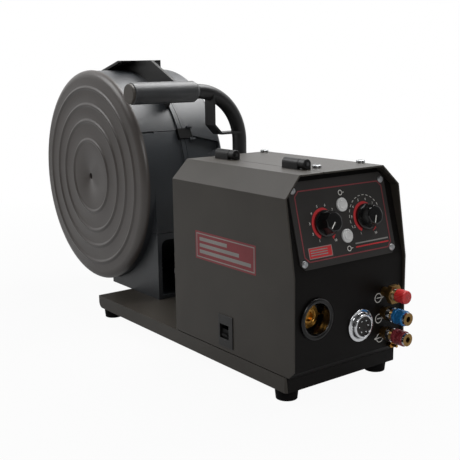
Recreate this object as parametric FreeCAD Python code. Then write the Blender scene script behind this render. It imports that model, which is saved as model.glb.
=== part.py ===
import FreeCAD, Part
import math
import os

# Wire feeder for gas-shielded arc welding: drive cabinet and spool housing on one base tray.
# Millimetres, X forward, Z up, left door side at -Y, floor at z = 0, cabinet front face at x = 0.
V = FreeCAD.Vector
X = V(1, 0, 0)
Y = V(0, 1, 0)
Z = V(0, 0, 1)
PAD = 1.0
MATE = 0.3
RUNNING = 0.05

# Base tray
FOOT_HEIGHT = 14.0
FOOT_RADIUS = 14.4
FOOT_STEM = 4.0
FOOT_INSET = 15.0
FOOT_FRONT = -29.0
FOOT_Y = 74.0
TRAY_DEPTH = 19.0
TRAY_SHEET = 2.0
TRAY_TAIL = 222.0
TRAY_FRONT = -10.0
TRAY_CORNER = 3.0
TRAY_STEP = 3.0
TRAY_STEP_DEPTH = 3.5
TRAY_LIP = 30.0
TRAY_REAR_RADIUS = 9.0
BASE_TOP = FOOT_HEIGHT + TRAY_DEPTH

# Cabinet shell
HALF_WIDTH = 91.0
CABINET_LENGTH = 238.0
CABINET_HEIGHT = 231.0
CHAMFER = 24.0
FOLD_HEIGHT = 119.0
SLOPE_BACK = 18.0
PANEL_BACK = 30.0
TOE = 7.0
COVER_LIP = 3.0
SHEET = 2.0
SEAM_Y = -30.0
SEAM_GAP = 1.0
PANEL_GAP = 0.5
DOOR_LIFT = 1.0
TOP = BASE_TOP + CABINET_HEIGHT
FOLD_Z = BASE_TOP + FOLD_HEIGHT
COVER_SLOPE = math.atan2(SLOPE_BACK, CABINET_HEIGHT - FOLD_HEIGHT)
SLOPE = math.atan2(PANEL_BACK, CABINET_HEIGHT - FOLD_HEIGHT)
WALL_Y = 5.0
WALL_FRONT = -40.0

# Door hinges and latch
KNUCKLE_RADIUS = 6.0
KNUCKLE_GAP = 0.5
HINGE_PIN_RADIUS = 2.2
HINGE_PIN_PROUD = 1.2
DOOR_HINGE_LENGTH = 38.6
DOOR_HINGE_SPLIT = 27.8
DOOR_HINGE_STARTS = (20.0 - CABINET_LENGTH, -82.2)
HINGE_SPANS = tuple((x, x + DOOR_HINGE_SPLIT, x + DOOR_HINGE_LENGTH) for x in DOOR_HINGE_STARTS)
LATCH_X = (-139.0, -110.0)
LATCH_Z = (6.5, 47.5)
LATCH_THICK = 1.2
LATCH_FRAME = 3.0
LATCH_WINDOW_TOP = 12.5
LATCH_WINDOW_BASE = 10.5
LATCH_WINDOW_SIDE = 8.0
LATCH_POCKET = 9.0
LATCH_TRAVEL = 6.0
STRIKE_HEIGHT = 13.0
STRIKE_Y = -80.0

# Control plate on the sloped panel
PLATE_HALF = 77.0
PLATE_LOW = 6.0
PLATE_HIGH = 106.0
PLATE_THICK = 1.5
PLATE_CORNER = 7.0
PLATE_SCREW_Y = 70.6
PLATE_SCREW_LOW = 13.0
PLATE_SCREW_HIGH = 96.6
PLATE_SCREW_RADIUS = 4.2
PLATE_SCREW_SHANK = 1.8
KNOB_SPOTS = (("amp_knob", -31.6, 54.6), ("volt_knob", 34.6, 54.8))
KNOB_POINTERS = (228.0, 248.0)
KNOB_RADIUS = 15.6
KNOB_HEIGHT = 18.4
KNOB_TAPER = 3.8
KNOB_STEP_IN = 1.2
KNOB_SKIRT = 4.0
KNOB_FACETS = 8
KNOB_GAP = 0.6
SHAFT_RADIUS = 3.0
BUSH_RADIUS = 4.6
POT_HALF = 8.5
BOARD_DEPTH = 13.0
BOARD_THICK = 1.6
BOARD_HALF = 58.0
BUTTON_SPOTS = (("gas_button", 0.0, 73.1), ("inch_button", 0.2, 36.2))
BUTTON_RADIUS = 5.4
BUTTON_PROUD = 4.5
BUTTON_TRAVEL = 2.5
BEZEL_RADIUS = 8.1
BEZEL_THICK = 2.0
BARREL_WALL = 1.1

# Lower front connections, y and height over the tray
TORCH_Y = -55.0
WIRE_HEIGHT = 66.3
COLLAR_RADIUS = 24.5
COLLAR_DEPTH = 3.5
COLLAR_BORE = 19.0
COLLAR_BARREL = 21.0
COLLAR_INSIDE = 35.0
COLLAR_FLOOR = 18.0
CORE_RADIUS = 14.0
CORE_TAIL_RADIUS = 8.0
CORE_BORE = 2.5
CORE_LENGTH = 60.0
CORE_FRONT = -12.0
CORE_MOUTH = 6.0
CORE_MOUTH_DEPTH = 20.0
TORCH_PIN_RADIUS = 1.3
TORCH_PIN_CIRCLE = 16.5
SOCKET_Y = 16.0
SOCKET_HEIGHT = 44.5
SOCKET_RADIUS = 20.0
SOCKET_RIM = 2.5
SOCKET_NOSE = 14.5
SOCKET_NOSE_ROOT = 16.5
SOCKET_NOSE_END = 8.0
SOCKET_BARREL = 18.0
SOCKET_BORE = 12.0
SOCKET_INSIDE = 22.0
INSERT_FRONT = 6.5
INSERT_HOLES = 6
INSERT_HOLE_RADIUS = 1.2
INSERT_HOLE_CIRCLE = 7.5
OUTLET_Y = 56.5
GAS_HEIGHT = 79.0
BLUE_HEIGHT = 53.0
RED_HEIGHT = 27.5
NECK_RADIUS = 6.0
GAS_HEX_FLATS = 22.0
GAS_HEX = (13.0, 19.5)
GAS_COLLAR = 23.5
GAS_COLLAR_RADIUS = 7.0
WATER_HEX_FLATS = 15.0
WATER_HEX = (5.0, 11.0)
WATER_COLLAR = 16.2
WATER_COLLAR_RADIUS = 8.6
STEM_RADIUS = 5.0
STEM_INSIDE = 14.0
CAP_RADIUS = 8.2
CAP_LENGTH = 14.2
CAP_TRAVEL = 12.0
CAP_END = 1.6
CAP_ROUND = 2.6
NIPPLE_RADIUS = 6.5
SLEEVE_RADIUS = 9.3
SLEEVE_LENGTH = 15.5
SLEEVE_TRAVEL = 4.0
TIP_RADIUS = 7.9
COUPLER_LENGTH = 40.0
EARTH_Y = 69.5
EARTH_HEIGHT = 9.0
EARTH_FLATS = 7.0
EARTH_NUT = 4.0
EARTH_END = 12.0

# Case bolts
BOLT_FRONT = -50.0
BOLT_REAR = 8.0 - CABINET_LENGTH
BOLT_SPOTS = ((BOLT_FRONT, -9.0), (BOLT_FRONT, 64.0), (BOLT_REAR, 58.0), (BOLT_REAR, -9.0))
BOLT_SHANK = 3.0
BOLT_HEAD = 5.5
BOLT_HEAD_HEIGHT = 3.5
BOLT_LENGTH = 12.0

# Handle
HANDLE_GAP = 77.0
HANDLE_LEG_Y = 79.0
HANDLE_RISE = 315.0
HANDLE_BEND = 75.0
TUBE_RADIUS = 10.5
TUBE_WALL = 2.0
GRIP_RADIUS = 15.0
GRIP_START = -4.0
GRIP_END = -104.0
PLUG_RADIUS = 13.6
PLUG_THICK = 4.0
HANDLE_PLATE_HALF = 32.0
HANDLE_PLATE_DEPTH = 26.0
HANDLE_PLATE_THICK = 4.0
HANDLE_BOLT_OFFSET = 24.0
STRAP_WIDTH = 22.0
STRAP_THICK = 3.0
STRAP_Y = 28.0
STRAP_KNEE = 266.0
STRAP_LEVEL = 255.0
STRAP_TURN_Y = 40.0

# Spool housing
DRUM_GAP = 230.0
DRUM_LIFT = 7.0
DRUM_RADIUS = 169.0
DRUM_WALL = 4.0
BAND_PROUD = 3.0
BAND_LEFT = 21.0
JOINT_Y = 28.0
BAND_RIGHT = 35.0
FOOT_BLOCK_BACK = 25.0
FOOT_BLOCK_LEFT = -32.0
FOOT_BLOCK_HEIGHT = 102.0
FOOT_GAP = 0.8
END_ROUND = 6.0
WINDOW_LEFT = -25.0
WINDOW_RIGHT = 60.0
WINDOW_LOW = 6.0
WINDOW_HIGH = 92.0
WINDOW_ROUND = 10.0
CAP_RIM_PROUD = 1.0
CAP_RIM_DEPTH = 5.0
CAP_CROWN = 6.0
CAP_SKIN = 4.0
CAP_RINGS = (142.0, 115.0, 89.5, 58.5)
CAP_STEP = 1.6
CAP_HOLE = 5.0
RECESS_LEFT = 38.0
RECESS_RIGHT = 91.0
RECESS_ANGLES = (14.0, 25.0)
RECESS_DEPTH = 8.0
RECESS_WALL = 2.5
SEAM_ANGLE = 27.5
SEAM_WIDTH = 1.2
SEAM_SLOT = 3.0
SEAM_DEPTH = 2.0

# Cover hinge and cover latch
HINGE_RADIUS = 6.0
HINGE_START = 26.0
HINGE_LENGTH = 60.0
NOTCH_START = 14.0
NOTCH_LENGTH = 32.0
WING_REAR = (-49.0, 164.0)
WING_FRONT = (153.0, 152.0)
WING_DROP = (30.0, 50.0)
WING_BACK = 24.0
BRACKET_LEFT = 16.0
BRACKET_THICK = 5.0
LIP_WIDTH = 24.0
LIP_THICK = 2.5
LIP_RIBS = 3
RIB_WIDTH = 2.0
RIB_HEIGHT = 2.0
CLIP_ANGLE = 25.0
CLIP_WIDTH = 16.0
CLIP_THICK = 3.0
CLIP_HOOK = 3.0
CLIP_PIN = 2.0
EAR_WIDTH = 3.0

# Spool and brake hub
AXLE_RADIUS = 10.0
AXLE_FLANGE = 35.0
AXLE_FLANGE_THICK = 5.0
AXLE_END_GAP = 6.5
HUB_RADIUS = 25.0
HUB_FLANGE = 34.0
HUB_FLANGE_THICK = 4.0
SPOOL_RADIUS = 150.0
SPOOL_WIDTH = 103.0
SPOOL_MID = 28.0
SPOOL_CORE = 95.0
SPOOL_BORE = 26.0
SPOOL_SKIN = 5.0
CORE_SKIN = 4.0
WINDING_RADIUS = 135.0
LOCK_STEM = 6.0
LOCK_DEPTH = 12.0
LOCK_DISC = 22.0
LOCK_GRIP = 15.4
LOCK_LUG_HALF = 5.0
SPOOL_GAP_LEFT = 18.5
SPOOL_GAP_RIGHT = 4.5
LOCK_LUG = 31.0
LOCK_THICK = 3.0
LOCK_KNOB = 12.0

# Wire drive
PLATE_BACK = -30.0
DRIVE_PLATE_THICK = 6.0
DRIVE_PLATE_X = (-198.0, -62.0)
DRIVE_PLATE_Z = (20.0, 112.0)
ROLL_X = (-150.0, -100.0)
ROLL_RADIUS = 18.5
ROLL_WIDTH = 12.0
ROLL_PIN = 5.0
WIRE_RADIUS = 0.6
GEAR_TEETH = 38
PINION_TEETH = 14
GEAR_MODULE = 1.0
GEAR_WIDTH = 8.0
GEAR_PLANE = -39.0
MOTOR_RADIUS = 31.0
MOTOR_LENGTH = 88.0
MOTOR_SHAFT = 4.0
ARM_PIVOT = (-180.0, 95.0)
ARM_PIN = 6.0
ARM_BOSS = 10.0
ARM_Y = (-71.0, -65.0)
ARM_END = -88.0
KNOB_X = -74.0
KNOB_Y = -68.0
KNOB_STEM = 3.0
KNOB_GRIP = 9.0
KNOB_LENGTH = 30.0
POST_HEIGHT = 50.0
POST_RADIUS = 4.0
NOSE_TOP = 94.0
GUIDE_RADIUS = 3.0
GUIDE_BORE = 1.5
INLET_RADIUS = 6.0
INLET_PROUD = 18.0
PIPE_WALL = 3.0
PIPE_INSET = 24.0
PIPE_Y = 25.0
PIPE_HEIGHT = 55.0
PIPE_END = 4.0
HOLDER_SPAN = (4.0, 12.0)
HOLDER_HALF = 15.0
VALVE_SIZE = (30.0, 30.0, 40.0)
VALVE_SPOT = (45.0, 150.0)
REAR_SPOTS = ((45.0, 60.0, 14.0, 24.0), (62.0, 118.0, 12.0, 16.0), (66.0, 20.0, 6.0, 22.0), (30.0, 20.0, 6.0, 22.0))

TRAY_LENGTH = CABINET_LENGTH + TRAY_TAIL
FOOT_X = (FOOT_INSET - TRAY_LENGTH, FOOT_FRONT)
HANDLE_X = -CABINET_LENGTH - HANDLE_GAP
INLET_REAR = -CABINET_LENGTH - INLET_PROUD
DRUM_X = HANDLE_X - DRUM_GAP
DRUM_FRONT = DRUM_X + DRUM_RADIUS
BAND_RADIUS = DRUM_RADIUS + BAND_PROUD
SPOOL_LEFT = SPOOL_MID - SPOOL_WIDTH / 2
SPOOL_RIGHT = SPOOL_MID + SPOOL_WIDTH / 2
DRUM_LEFT = SPOOL_LEFT - SPOOL_GAP_LEFT
DRUM_RIGHT = SPOOL_RIGHT + HUB_FLANGE_THICK + SPOOL_GAP_RIGHT + AXLE_FLANGE_THICK + DRUM_WALL
AXLE_REACH = DRUM_RIGHT - DRUM_WALL - SPOOL_LEFT - LOCK_DEPTH - AXLE_END_GAP
FOOT_BLOCK_REAR = DRUM_X + FOOT_BLOCK_BACK
CAP_RIM = DRUM_RADIUS + CAP_RIM_PROUD
CAP_RIM_Y = DRUM_LEFT - CAP_RIM_DEPTH
CAP_FACE_Y = CAP_RIM_Y - CAP_CROWN
WIRE_Z = BASE_TOP + WIRE_HEIGHT
DRUM_Z = BASE_TOP + DRUM_RADIUS + DRUM_LIFT
HINGE_Z = DRUM_Z + BAND_RADIUS + HINGE_RADIUS
HINGE_TOP = (DRUM_X + HINGE_START, DRUM_X + HINGE_START + HINGE_LENGTH)
HINGE_NOTCH = (HINGE_TOP[0] + NOTCH_START, HINGE_TOP[0] + NOTCH_START + NOTCH_LENGTH)
HINGE_REAR = (DRUM_X + WING_REAR[0], DRUM_Z + WING_REAR[1])
HINGE_FRONT = (DRUM_X + WING_FRONT[0], DRUM_Z + WING_FRONT[1])
PIPE_START = (DRUM_FRONT - PIPE_INSET, PIPE_Y, BASE_TOP + PIPE_HEIGHT)
LOWER_ROLL_Z = WIRE_Z - WIRE_RADIUS - ROLL_RADIUS
UPPER_ROLL_Z = WIRE_Z + WIRE_RADIUS + ROLL_RADIUS
GEAR_DISTANCE = GEAR_MODULE * (GEAR_TEETH + PINION_TEETH) / 2 + 0.1
MOTOR_X = (ROLL_X[0] + ROLL_X[1]) / 2
MOTOR_Z = LOWER_ROLL_Z - math.sqrt(GEAR_DISTANCE ** 2 - ((ROLL_X[1] - ROLL_X[0]) / 2) ** 2)
DOOR_AXIS = V(0, SEAM_Y, TOP + KNUCKLE_RADIUS + KNUCKLE_GAP)


def box(x0, x1, y0, y1, z0, z1):
    return Part.makeBox(x1 - x0, y1 - y0, z1 - z0, V(x0, y0, z0))


def rod(start, axis, radius, length):
    return Part.makeCylinder(radius, length, start, axis)


def tube(start, axis, outer, inner, length):
    return rod(start, axis, outer, length).cut(rod(start - axis * PAD, axis, inner, length + 2 * PAD))


def face_of(points):
    return Part.Face(Part.makePolygon(points + points[:1]))


def prism_x(points, x0, x1):
    return face_of([V(x0, y, z) for y, z in points]).extrude(X * (x1 - x0))


def prism_y(points, y0, y1):
    return face_of([V(x, y0, z) for x, z in points]).extrude(Y * (y1 - y0))


def prism_z(points, z0, z1):
    return face_of([V(x, y, z0) for x, y in points]).extrude(Z * (z1 - z0))


def join(shapes):
    whole = shapes[0]
    for shape in shapes[1:]:
        whole = whole.fuse(shape)
    return whole.removeSplitter()


def hexagon(y, z, flats, x0, x1):
    corner = flats / math.sqrt(3)
    points = [(y + corner * math.cos(math.radians(60 * k)), z + corner * math.sin(math.radians(60 * k)))
              for k in range(6)]
    return prism_x(points, x0, x1)


def tilt(shape):
    # Local +X is the outward normal of the sloped panel, local +Z runs up the slope from the fold
    turned = shape.copy()
    turned.rotate(V(0, 0, 0), Y, -math.degrees(SLOPE))
    turned.translate(V(0, 0, FOLD_Z))
    return turned


def drum(radius, y0, y1):
    return rod(V(DRUM_X, y0, DRUM_Z), Y, radius, y1 - y0)


def section(inset):
    half = HALF_WIDTH - inset
    knee = TOP - CHAMFER - inset * math.tan(math.pi / 8)
    shoulder = HALF_WIDTH - CHAMFER - inset * math.tan(math.pi / 8)
    top = TOP - inset
    return [(-half, BASE_TOP), (-half, knee), (-shoulder, top), (shoulder, top), (half, knee), (half, BASE_TOP)]


def slope_point(depth, height, slope):
    along = (height - FOLD_Z + depth * math.sin(slope)) / math.cos(slope)
    return (-depth * math.cos(slope) - along * math.sin(slope), height)


def front_line(depth, toe_depth, level, height, slope):
    # The toe leans back at 45 degrees, the lower face stands upright and the slope begins at the fold
    toe = BASE_TOP + TOE + toe_depth * math.sqrt(2)
    return [(level - toe, level), (-depth, toe - depth), (-depth, FOLD_Z - depth * math.tan(slope / 2)),
            slope_point(depth, height, slope)]


def base_tray():
    front = TRAY_FRONT
    rear = -TRAY_LENGTH
    step = BASE_TOP - TRAY_STEP
    step_back = front - TRAY_STEP_DEPTH
    step_half = HALF_WIDTH - SHEET

    def outline(inset):
        cut = TRAY_CORNER - inset * (2 - math.sqrt(2))
        a = HALF_WIDTH - inset
        return [(rear + inset, -a), (front - inset - cut, -a), (front - inset, -a + cut),
                (front - inset, a - cut), (front - inset - cut, a), (rear + inset, a)]
    tray = prism_z(outline(0), FOOT_HEIGHT, BASE_TOP)
    hollow = prism_z(outline(TRAY_SHEET), FOOT_HEIGHT - PAD, BASE_TOP - TRAY_SHEET)
    tray = tray.cut(hollow.cut(box(step_back - TRAY_SHEET, front, -HALF_WIDTH, HALF_WIDTH, step - TRAY_SHEET, BASE_TOP)))
    tray = tray.cut(box(step_back, front + PAD, -step_half, step_half, step, BASE_TOP + PAD))
    lip_top = FOOT_HEIGHT + TRAY_SHEET
    for side in (-1, 1):
        inner = side * (HALF_WIDTH - TRAY_LIP)
        outer = side * (HALF_WIDTH - TRAY_SHEET)
        lip = box(rear + TRAY_REAR_RADIUS, front - TRAY_CORNER, min(inner, outer), max(inner, outer),
                  FOOT_HEIGHT, lip_top)
        tray = tray.fuse(lip)
    corner = box(rear - PAD, rear + TRAY_REAR_RADIUS, -HALF_WIDTH - PAD, HALF_WIDTH + PAD,
                 FOOT_HEIGHT - PAD, FOOT_HEIGHT + TRAY_REAR_RADIUS)
    round_off = rod(V(rear + TRAY_REAR_RADIUS, -HALF_WIDTH - PAD, FOOT_HEIGHT + TRAY_REAR_RADIUS), Y,
                    TRAY_REAR_RADIUS, 2 * HALF_WIDTH + 2 * PAD)
    tray = tray.cut(corner.cut(round_off))
    for x in FOOT_X:
        for y in (-FOOT_Y, FOOT_Y):
            tray = tray.cut(rod(V(x, y, FOOT_HEIGHT - PAD), Z, FOOT_STEM, TRAY_SHEET + 2 * PAD))
    strike = box(LATCH_X[0] + LATCH_FRAME, LATCH_X[1] - LATCH_FRAME, STRIKE_Y, STRIKE_Y + SHEET,
                 BASE_TOP, BASE_TOP + STRIKE_HEIGHT)
    for bolt in handle_bolt_holes():
        tray = tray.cut(bolt)
    return join([tray, strike])


def rubber_feet():
    feet = []
    for x in FOOT_X:
        for y in (-FOOT_Y, FOOT_Y):
            pad = Part.makeCone(FOOT_RADIUS - 1.5, FOOT_RADIUS, FOOT_HEIGHT, V(x, y, 0), Z)
            stem = rod(V(x, y, FOOT_HEIGHT), Z, FOOT_STEM, TRAY_SHEET)
            head = rod(V(x, y, FOOT_HEIGHT + TRAY_SHEET), Z, FOOT_STEM + 1.5, TRAY_SHEET)
            feet.append(join([pad, stem, head]))
    return Part.Compound(feet)


def handle_bolt_spots():
    y = HANDLE_LEG_Y - HANDLE_PLATE_DEPTH / 2 + 9
    return [(HANDLE_X - HANDLE_BOLT_OFFSET, y), (HANDLE_X + HANDLE_BOLT_OFFSET, y)]


def handle_bolt_holes():
    holes = []
    for x, y in handle_bolt_spots():
        holes.append(rod(V(x, y, BASE_TOP - BOLT_LENGTH), Z, BOLT_SHANK, BOLT_LENGTH + HANDLE_PLATE_THICK + PAD))
    return holes


def cabinet_shell():
    outer = prism_x(section(0), -CABINET_LENGTH, COVER_LIP)
    inner = prism_x(section(SHEET), -CABINET_LENGTH - PAD, COVER_LIP + PAD)
    edge = front_line(-COVER_LIP, 0, BASE_TOP, TOP, COVER_SLOPE)
    side = prism_y([(-CABINET_LENGTH, BASE_TOP)] + edge + [(-CABINET_LENGTH, TOP)], -HALF_WIDTH - PAD, HALF_WIDTH + PAD)
    return outer.cut(inner).common(side)


def top_cover():
    far = HALF_WIDTH + PAD
    front = COVER_LIP + PAD
    cover = cabinet_shell().cut(box(-CABINET_LENGTH - PAD, front, -far, SEAM_Y, BASE_TOP - PAD, TOP + PAD))
    for x, y in BOLT_SPOTS:
        cover = cover.cut(rod(V(x, y, TOP - SHEET - PAD), Z, BOLT_SHANK, SHEET + 2 * PAD))
    return cover


def side_door():
    far = HALF_WIDTH + PAD
    front = COVER_LIP + PAD
    door = cabinet_shell().cut(box(-CABINET_LENGTH - PAD, front, SEAM_Y - SEAM_GAP, far, BASE_TOP - PAD, TOP + PAD))
    door = door.cut(box(-CABINET_LENGTH - PAD, front, -far, 0, BASE_TOP - PAD, BASE_TOP + DOOR_LIFT))
    x0, x1, z0, z1 = latch_window()
    frame = SHEET / 2
    return door.cut(box(x0 - frame, x1 + frame, -far, -HALF_WIDTH + SHEET + PAD, z0 - frame, z1 + frame))


def panel_between(depth_front, depth_back):
    top = TOP - SHEET
    level = BASE_TOP - TRAY_STEP + PANEL_GAP
    front = front_line(depth_front, depth_front, level, top, SLOPE)
    back = front_line(depth_back, depth_back, level, top, SLOPE)
    half = HALF_WIDTH - SHEET - PANEL_GAP
    plate = prism_y(front + back[::-1], -half, half)
    limits = prism_x(section(SHEET + PANEL_GAP), -CABINET_LENGTH, PAD)
    return plate.common(limits.fuse(box(-CABINET_LENGTH, PAD, -half, half, level, BASE_TOP)))


def front_panel():
    panel = panel_between(0, SHEET)
    for name, y, s in KNOB_SPOTS:
        panel = panel.cut(tilt(rod(V(-SHEET - PAD, y, s), X, BUSH_RADIUS, SHEET + 2 * PAD)))
    for name, y, s in BUTTON_SPOTS:
        panel = panel.cut(tilt(rod(V(-SHEET - PAD, y, s), X, barrel_radius(), SHEET + 2 * PAD)))
    for y, s in plate_screw_spots():
        panel = panel.cut(tilt(rod(V(-SHEET - PAD, y, s), X, PLATE_SCREW_SHANK, SHEET + 2 * PAD)))
    holes = [(TORCH_Y, WIRE_HEIGHT, COLLAR_BARREL), (SOCKET_Y, SOCKET_HEIGHT, SOCKET_BARREL),
             (OUTLET_Y, GAS_HEIGHT, STEM_RADIUS), (OUTLET_Y, BLUE_HEIGHT, STEM_RADIUS),
             (OUTLET_Y, RED_HEIGHT, STEM_RADIUS), (EARTH_Y, EARTH_HEIGHT, EARTH_FLATS / 4)]
    for y, height, radius in holes:
        panel = panel.cut(rod(V(-SHEET - PAD, y, BASE_TOP + height), X, radius, SHEET + 2 * PAD))
    return panel


def rear_panel():
    limits = prism_x(section(SHEET + PANEL_GAP), -CABINET_LENGTH, -CABINET_LENGTH + SHEET)
    holes = [(TORCH_Y, WIRE_HEIGHT, INLET_RADIUS)] + [(y, z, STEM_RADIUS) for y, z, r, long in REAR_SPOTS]
    for y, height, radius in holes:
        limits = limits.cut(rod(V(-CABINET_LENGTH - PAD, y, BASE_TOP + height), X, radius, SHEET + 2 * PAD))
    return limits


def inner_wall():
    rear = -CABINET_LENGTH + SHEET
    wall = box(rear, WALL_FRONT, WALL_Y, WALL_Y + SHEET, BASE_TOP, TOP - SHEET)
    foot = box(rear, WALL_FRONT, WALL_Y, WALL_Y + 5 * SHEET, BASE_TOP, BASE_TOP + SHEET)
    opening = rod(V(MOTOR_X, WALL_Y - PAD, MOTOR_Z), Y, MOTOR_RADIUS + PAD, 6 * SHEET + 2 * PAD)
    return join([wall, foot]).cut(opening)


def plate_screw_spots():
    return [(y, s) for y in (-PLATE_SCREW_Y, PLATE_SCREW_Y) for s in (PLATE_SCREW_LOW, PLATE_SCREW_HIGH)]


def control_plate():
    a, cut = PLATE_HALF, PLATE_CORNER
    plate = prism_x([(-a + cut, PLATE_LOW), (a - cut, PLATE_LOW), (a, PLATE_LOW + cut), (a, PLATE_HIGH - cut),
                     (a - cut, PLATE_HIGH), (-a + cut, PLATE_HIGH), (-a, PLATE_HIGH - cut), (-a, PLATE_LOW + cut)],
                    0, PLATE_THICK)
    for name, y, s in KNOB_SPOTS:
        plate = plate.cut(rod(V(-PAD, y, s), X, BUSH_RADIUS, PLATE_THICK + 2 * PAD))
    for name, y, s in BUTTON_SPOTS:
        plate = plate.cut(rod(V(-PAD, y, s), X, barrel_radius(), PLATE_THICK + 2 * PAD))
    for y, s in plate_screw_spots():
        plate = plate.cut(rod(V(-PAD, y, s), X, PLATE_SCREW_SHANK, PLATE_THICK + 2 * PAD))
    return tilt(plate)


def plate_screws():
    screws = []
    for y, s in plate_screw_spots():
        head = Part.makeCone(PLATE_SCREW_RADIUS, PLATE_SCREW_RADIUS * 0.7, 2.2, V(PLATE_THICK, y, s), X)
        slot = box(PLATE_THICK + 1.2, PLATE_THICK + 4, y - 0.5, y + 0.5, s - 5, s + 5)
        shank = rod(V(-SHEET - 4, y, s), X, PLATE_SCREW_SHANK, SHEET + 4 + PLATE_THICK)
        screws.append(tilt(join([head.cut(slot), shank])))
    return Part.Compound(screws)


def knob(y, s, pointer):
    base = PLATE_THICK + KNOB_GAP
    skirt = rod(V(base, y, s), X, KNOB_RADIUS, KNOB_SKIRT)
    step = 360.0 / KNOB_FACETS
    grip_radius = KNOB_RADIUS - KNOB_STEP_IN
    turns = [math.radians(pointer + step * (k + 0.5)) for k in range(KNOB_FACETS)]
    points = [(y + grip_radius * math.cos(turn), s + grip_radius * math.sin(turn)) for turn in turns]
    grip = prism_x(points, base + KNOB_SKIRT, base + KNOB_HEIGHT)
    taper = Part.makeCone(KNOB_RADIUS, KNOB_RADIUS - KNOB_TAPER, KNOB_HEIGHT - KNOB_SKIRT,
                          V(base + KNOB_SKIRT, y, s), X)
    shaft = rod(V(-BOARD_DEPTH + PAD, y, s), X, SHAFT_RADIUS, BOARD_DEPTH - PAD + base + KNOB_SKIRT)
    return tilt(join([skirt, grip.common(taper), shaft]))


def potentiometers():
    pots = []
    for name, y, s in KNOB_SPOTS:
        body = box(-BOARD_DEPTH, -SHEET, y - POT_HALF, y + POT_HALF, s - POT_HALF, s + POT_HALF)
        bush = rod(V(-SHEET, y, s), X, BUSH_RADIUS, SHEET + PLATE_THICK + KNOB_GAP / 2)
        bore = rod(V(-BOARD_DEPTH + PAD - MATE, y, s), X, SHAFT_RADIUS + RUNNING, 2 * BOARD_DEPTH)
        pots.append(tilt(join([body, bush]).cut(bore)))
    return Part.Compound(pots)


def barrel_radius():
    return BUTTON_RADIUS + 2 * RUNNING + BARREL_WALL


def button(y, s):
    length = BUTTON_PROUD + BUTTON_TRAVEL + SHEET
    cap = rod(V(BUTTON_PROUD - length, y, s), X, BUTTON_RADIUS, length)
    edge = Part.makeCone(BUTTON_RADIUS + 3, BUTTON_RADIUS - 1, 4, V(BUTTON_PROUD - 4, y, s), X)
    lower = rod(V(BUTTON_PROUD - length, y, s), X, BUTTON_RADIUS, length - 2)
    return tilt(cap.common(join([edge, lower])))


def button_housings():
    housings = []
    for name, y, s in BUTTON_SPOTS:
        barrel = rod(V(-BOARD_DEPTH, y, s), X, barrel_radius(), BOARD_DEPTH + PLATE_THICK)
        bezel = rod(V(PLATE_THICK, y, s), X, BEZEL_RADIUS, BEZEL_THICK)
        depth = BUTTON_TRAVEL * 2 + SHEET + MATE
        bore = rod(V(-depth, y, s), X, BUTTON_RADIUS + 2 * RUNNING, depth + PLATE_THICK + BEZEL_THICK + PAD)
        housings.append(tilt(join([barrel, bezel]).cut(bore)))
    return Part.Compound(housings)


def circuit_board():
    low = BUTTON_SPOTS[1][2] - BARREL_WALL - BEZEL_RADIUS
    high = BUTTON_SPOTS[0][2] + BEZEL_RADIUS
    board = box(-BOARD_DEPTH - BOARD_THICK, -BOARD_DEPTH, -BOARD_HALF, BOARD_HALF * 0.75, low, high)
    return tilt(board)


def knuckle(x0, x1, side):
    axis = DOOR_AXIS
    barrel = rod(V(x0, axis.y, axis.z), X, KNUCKLE_RADIUS, x1 - x0)
    y0 = min(axis.y + side * SEAM_GAP, axis.y + side * KNUCKLE_RADIUS)
    base = box(x0, x1, y0, y0 + KNUCKLE_RADIUS - SEAM_GAP, TOP, axis.z)
    bore = rod(V(x0 - PAD, axis.y, axis.z), X, HINGE_PIN_RADIUS + (RUNNING if side < 0 else 0), x1 - x0 + 2 * PAD)
    return join([barrel, base]).cut(bore)


def hinge_knuckles():
    return Part.Compound([knuckle(middle + KNUCKLE_GAP, front, 1) for rear, middle, front in HINGE_SPANS])


def door_knuckles():
    return Part.Compound([knuckle(rear, middle, -1) for rear, middle, front in HINGE_SPANS])


def hinge_pins():
    pins = []
    for rear, middle, front in HINGE_SPANS:
        pins.append(rod(V(rear, DOOR_AXIS.y, DOOR_AXIS.z), X, HINGE_PIN_RADIUS, front - rear + HINGE_PIN_PROUD))
    start = HINGE_TOP[0] - HINGE_PIN_PROUD
    pins.append(rod(V(start, JOINT_Y, HINGE_Z), X, HINGE_PIN_RADIUS, HINGE_TOP[1] - start + HINGE_PIN_PROUD))
    return Part.Compound(pins)


def latch_window():
    x0 = LATCH_X[0] + LATCH_FRAME
    x1 = LATCH_X[1] - LATCH_WINDOW_SIDE
    return x0, x1, BASE_TOP + LATCH_Z[0] + LATCH_WINDOW_BASE, BASE_TOP + LATCH_Z[1] - LATCH_WINDOW_TOP


def latch_plate():
    face = -HALF_WIDTH
    x0, x1, z0, z1 = latch_window()
    plate = box(LATCH_X[0], LATCH_X[1], face - LATCH_THICK, face, BASE_TOP + LATCH_Z[0], BASE_TOP + LATCH_Z[1])
    wall = SHEET / 2
    pocket = box(x0 - wall, x1 + wall, face, face + LATCH_POCKET, z0 - wall, z1 + wall)
    hollow = box(x0, x1, face - PAD - LATCH_THICK, face + LATCH_POCKET + PAD, z0, z1)
    return join([plate, pocket]).cut(hollow)


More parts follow.
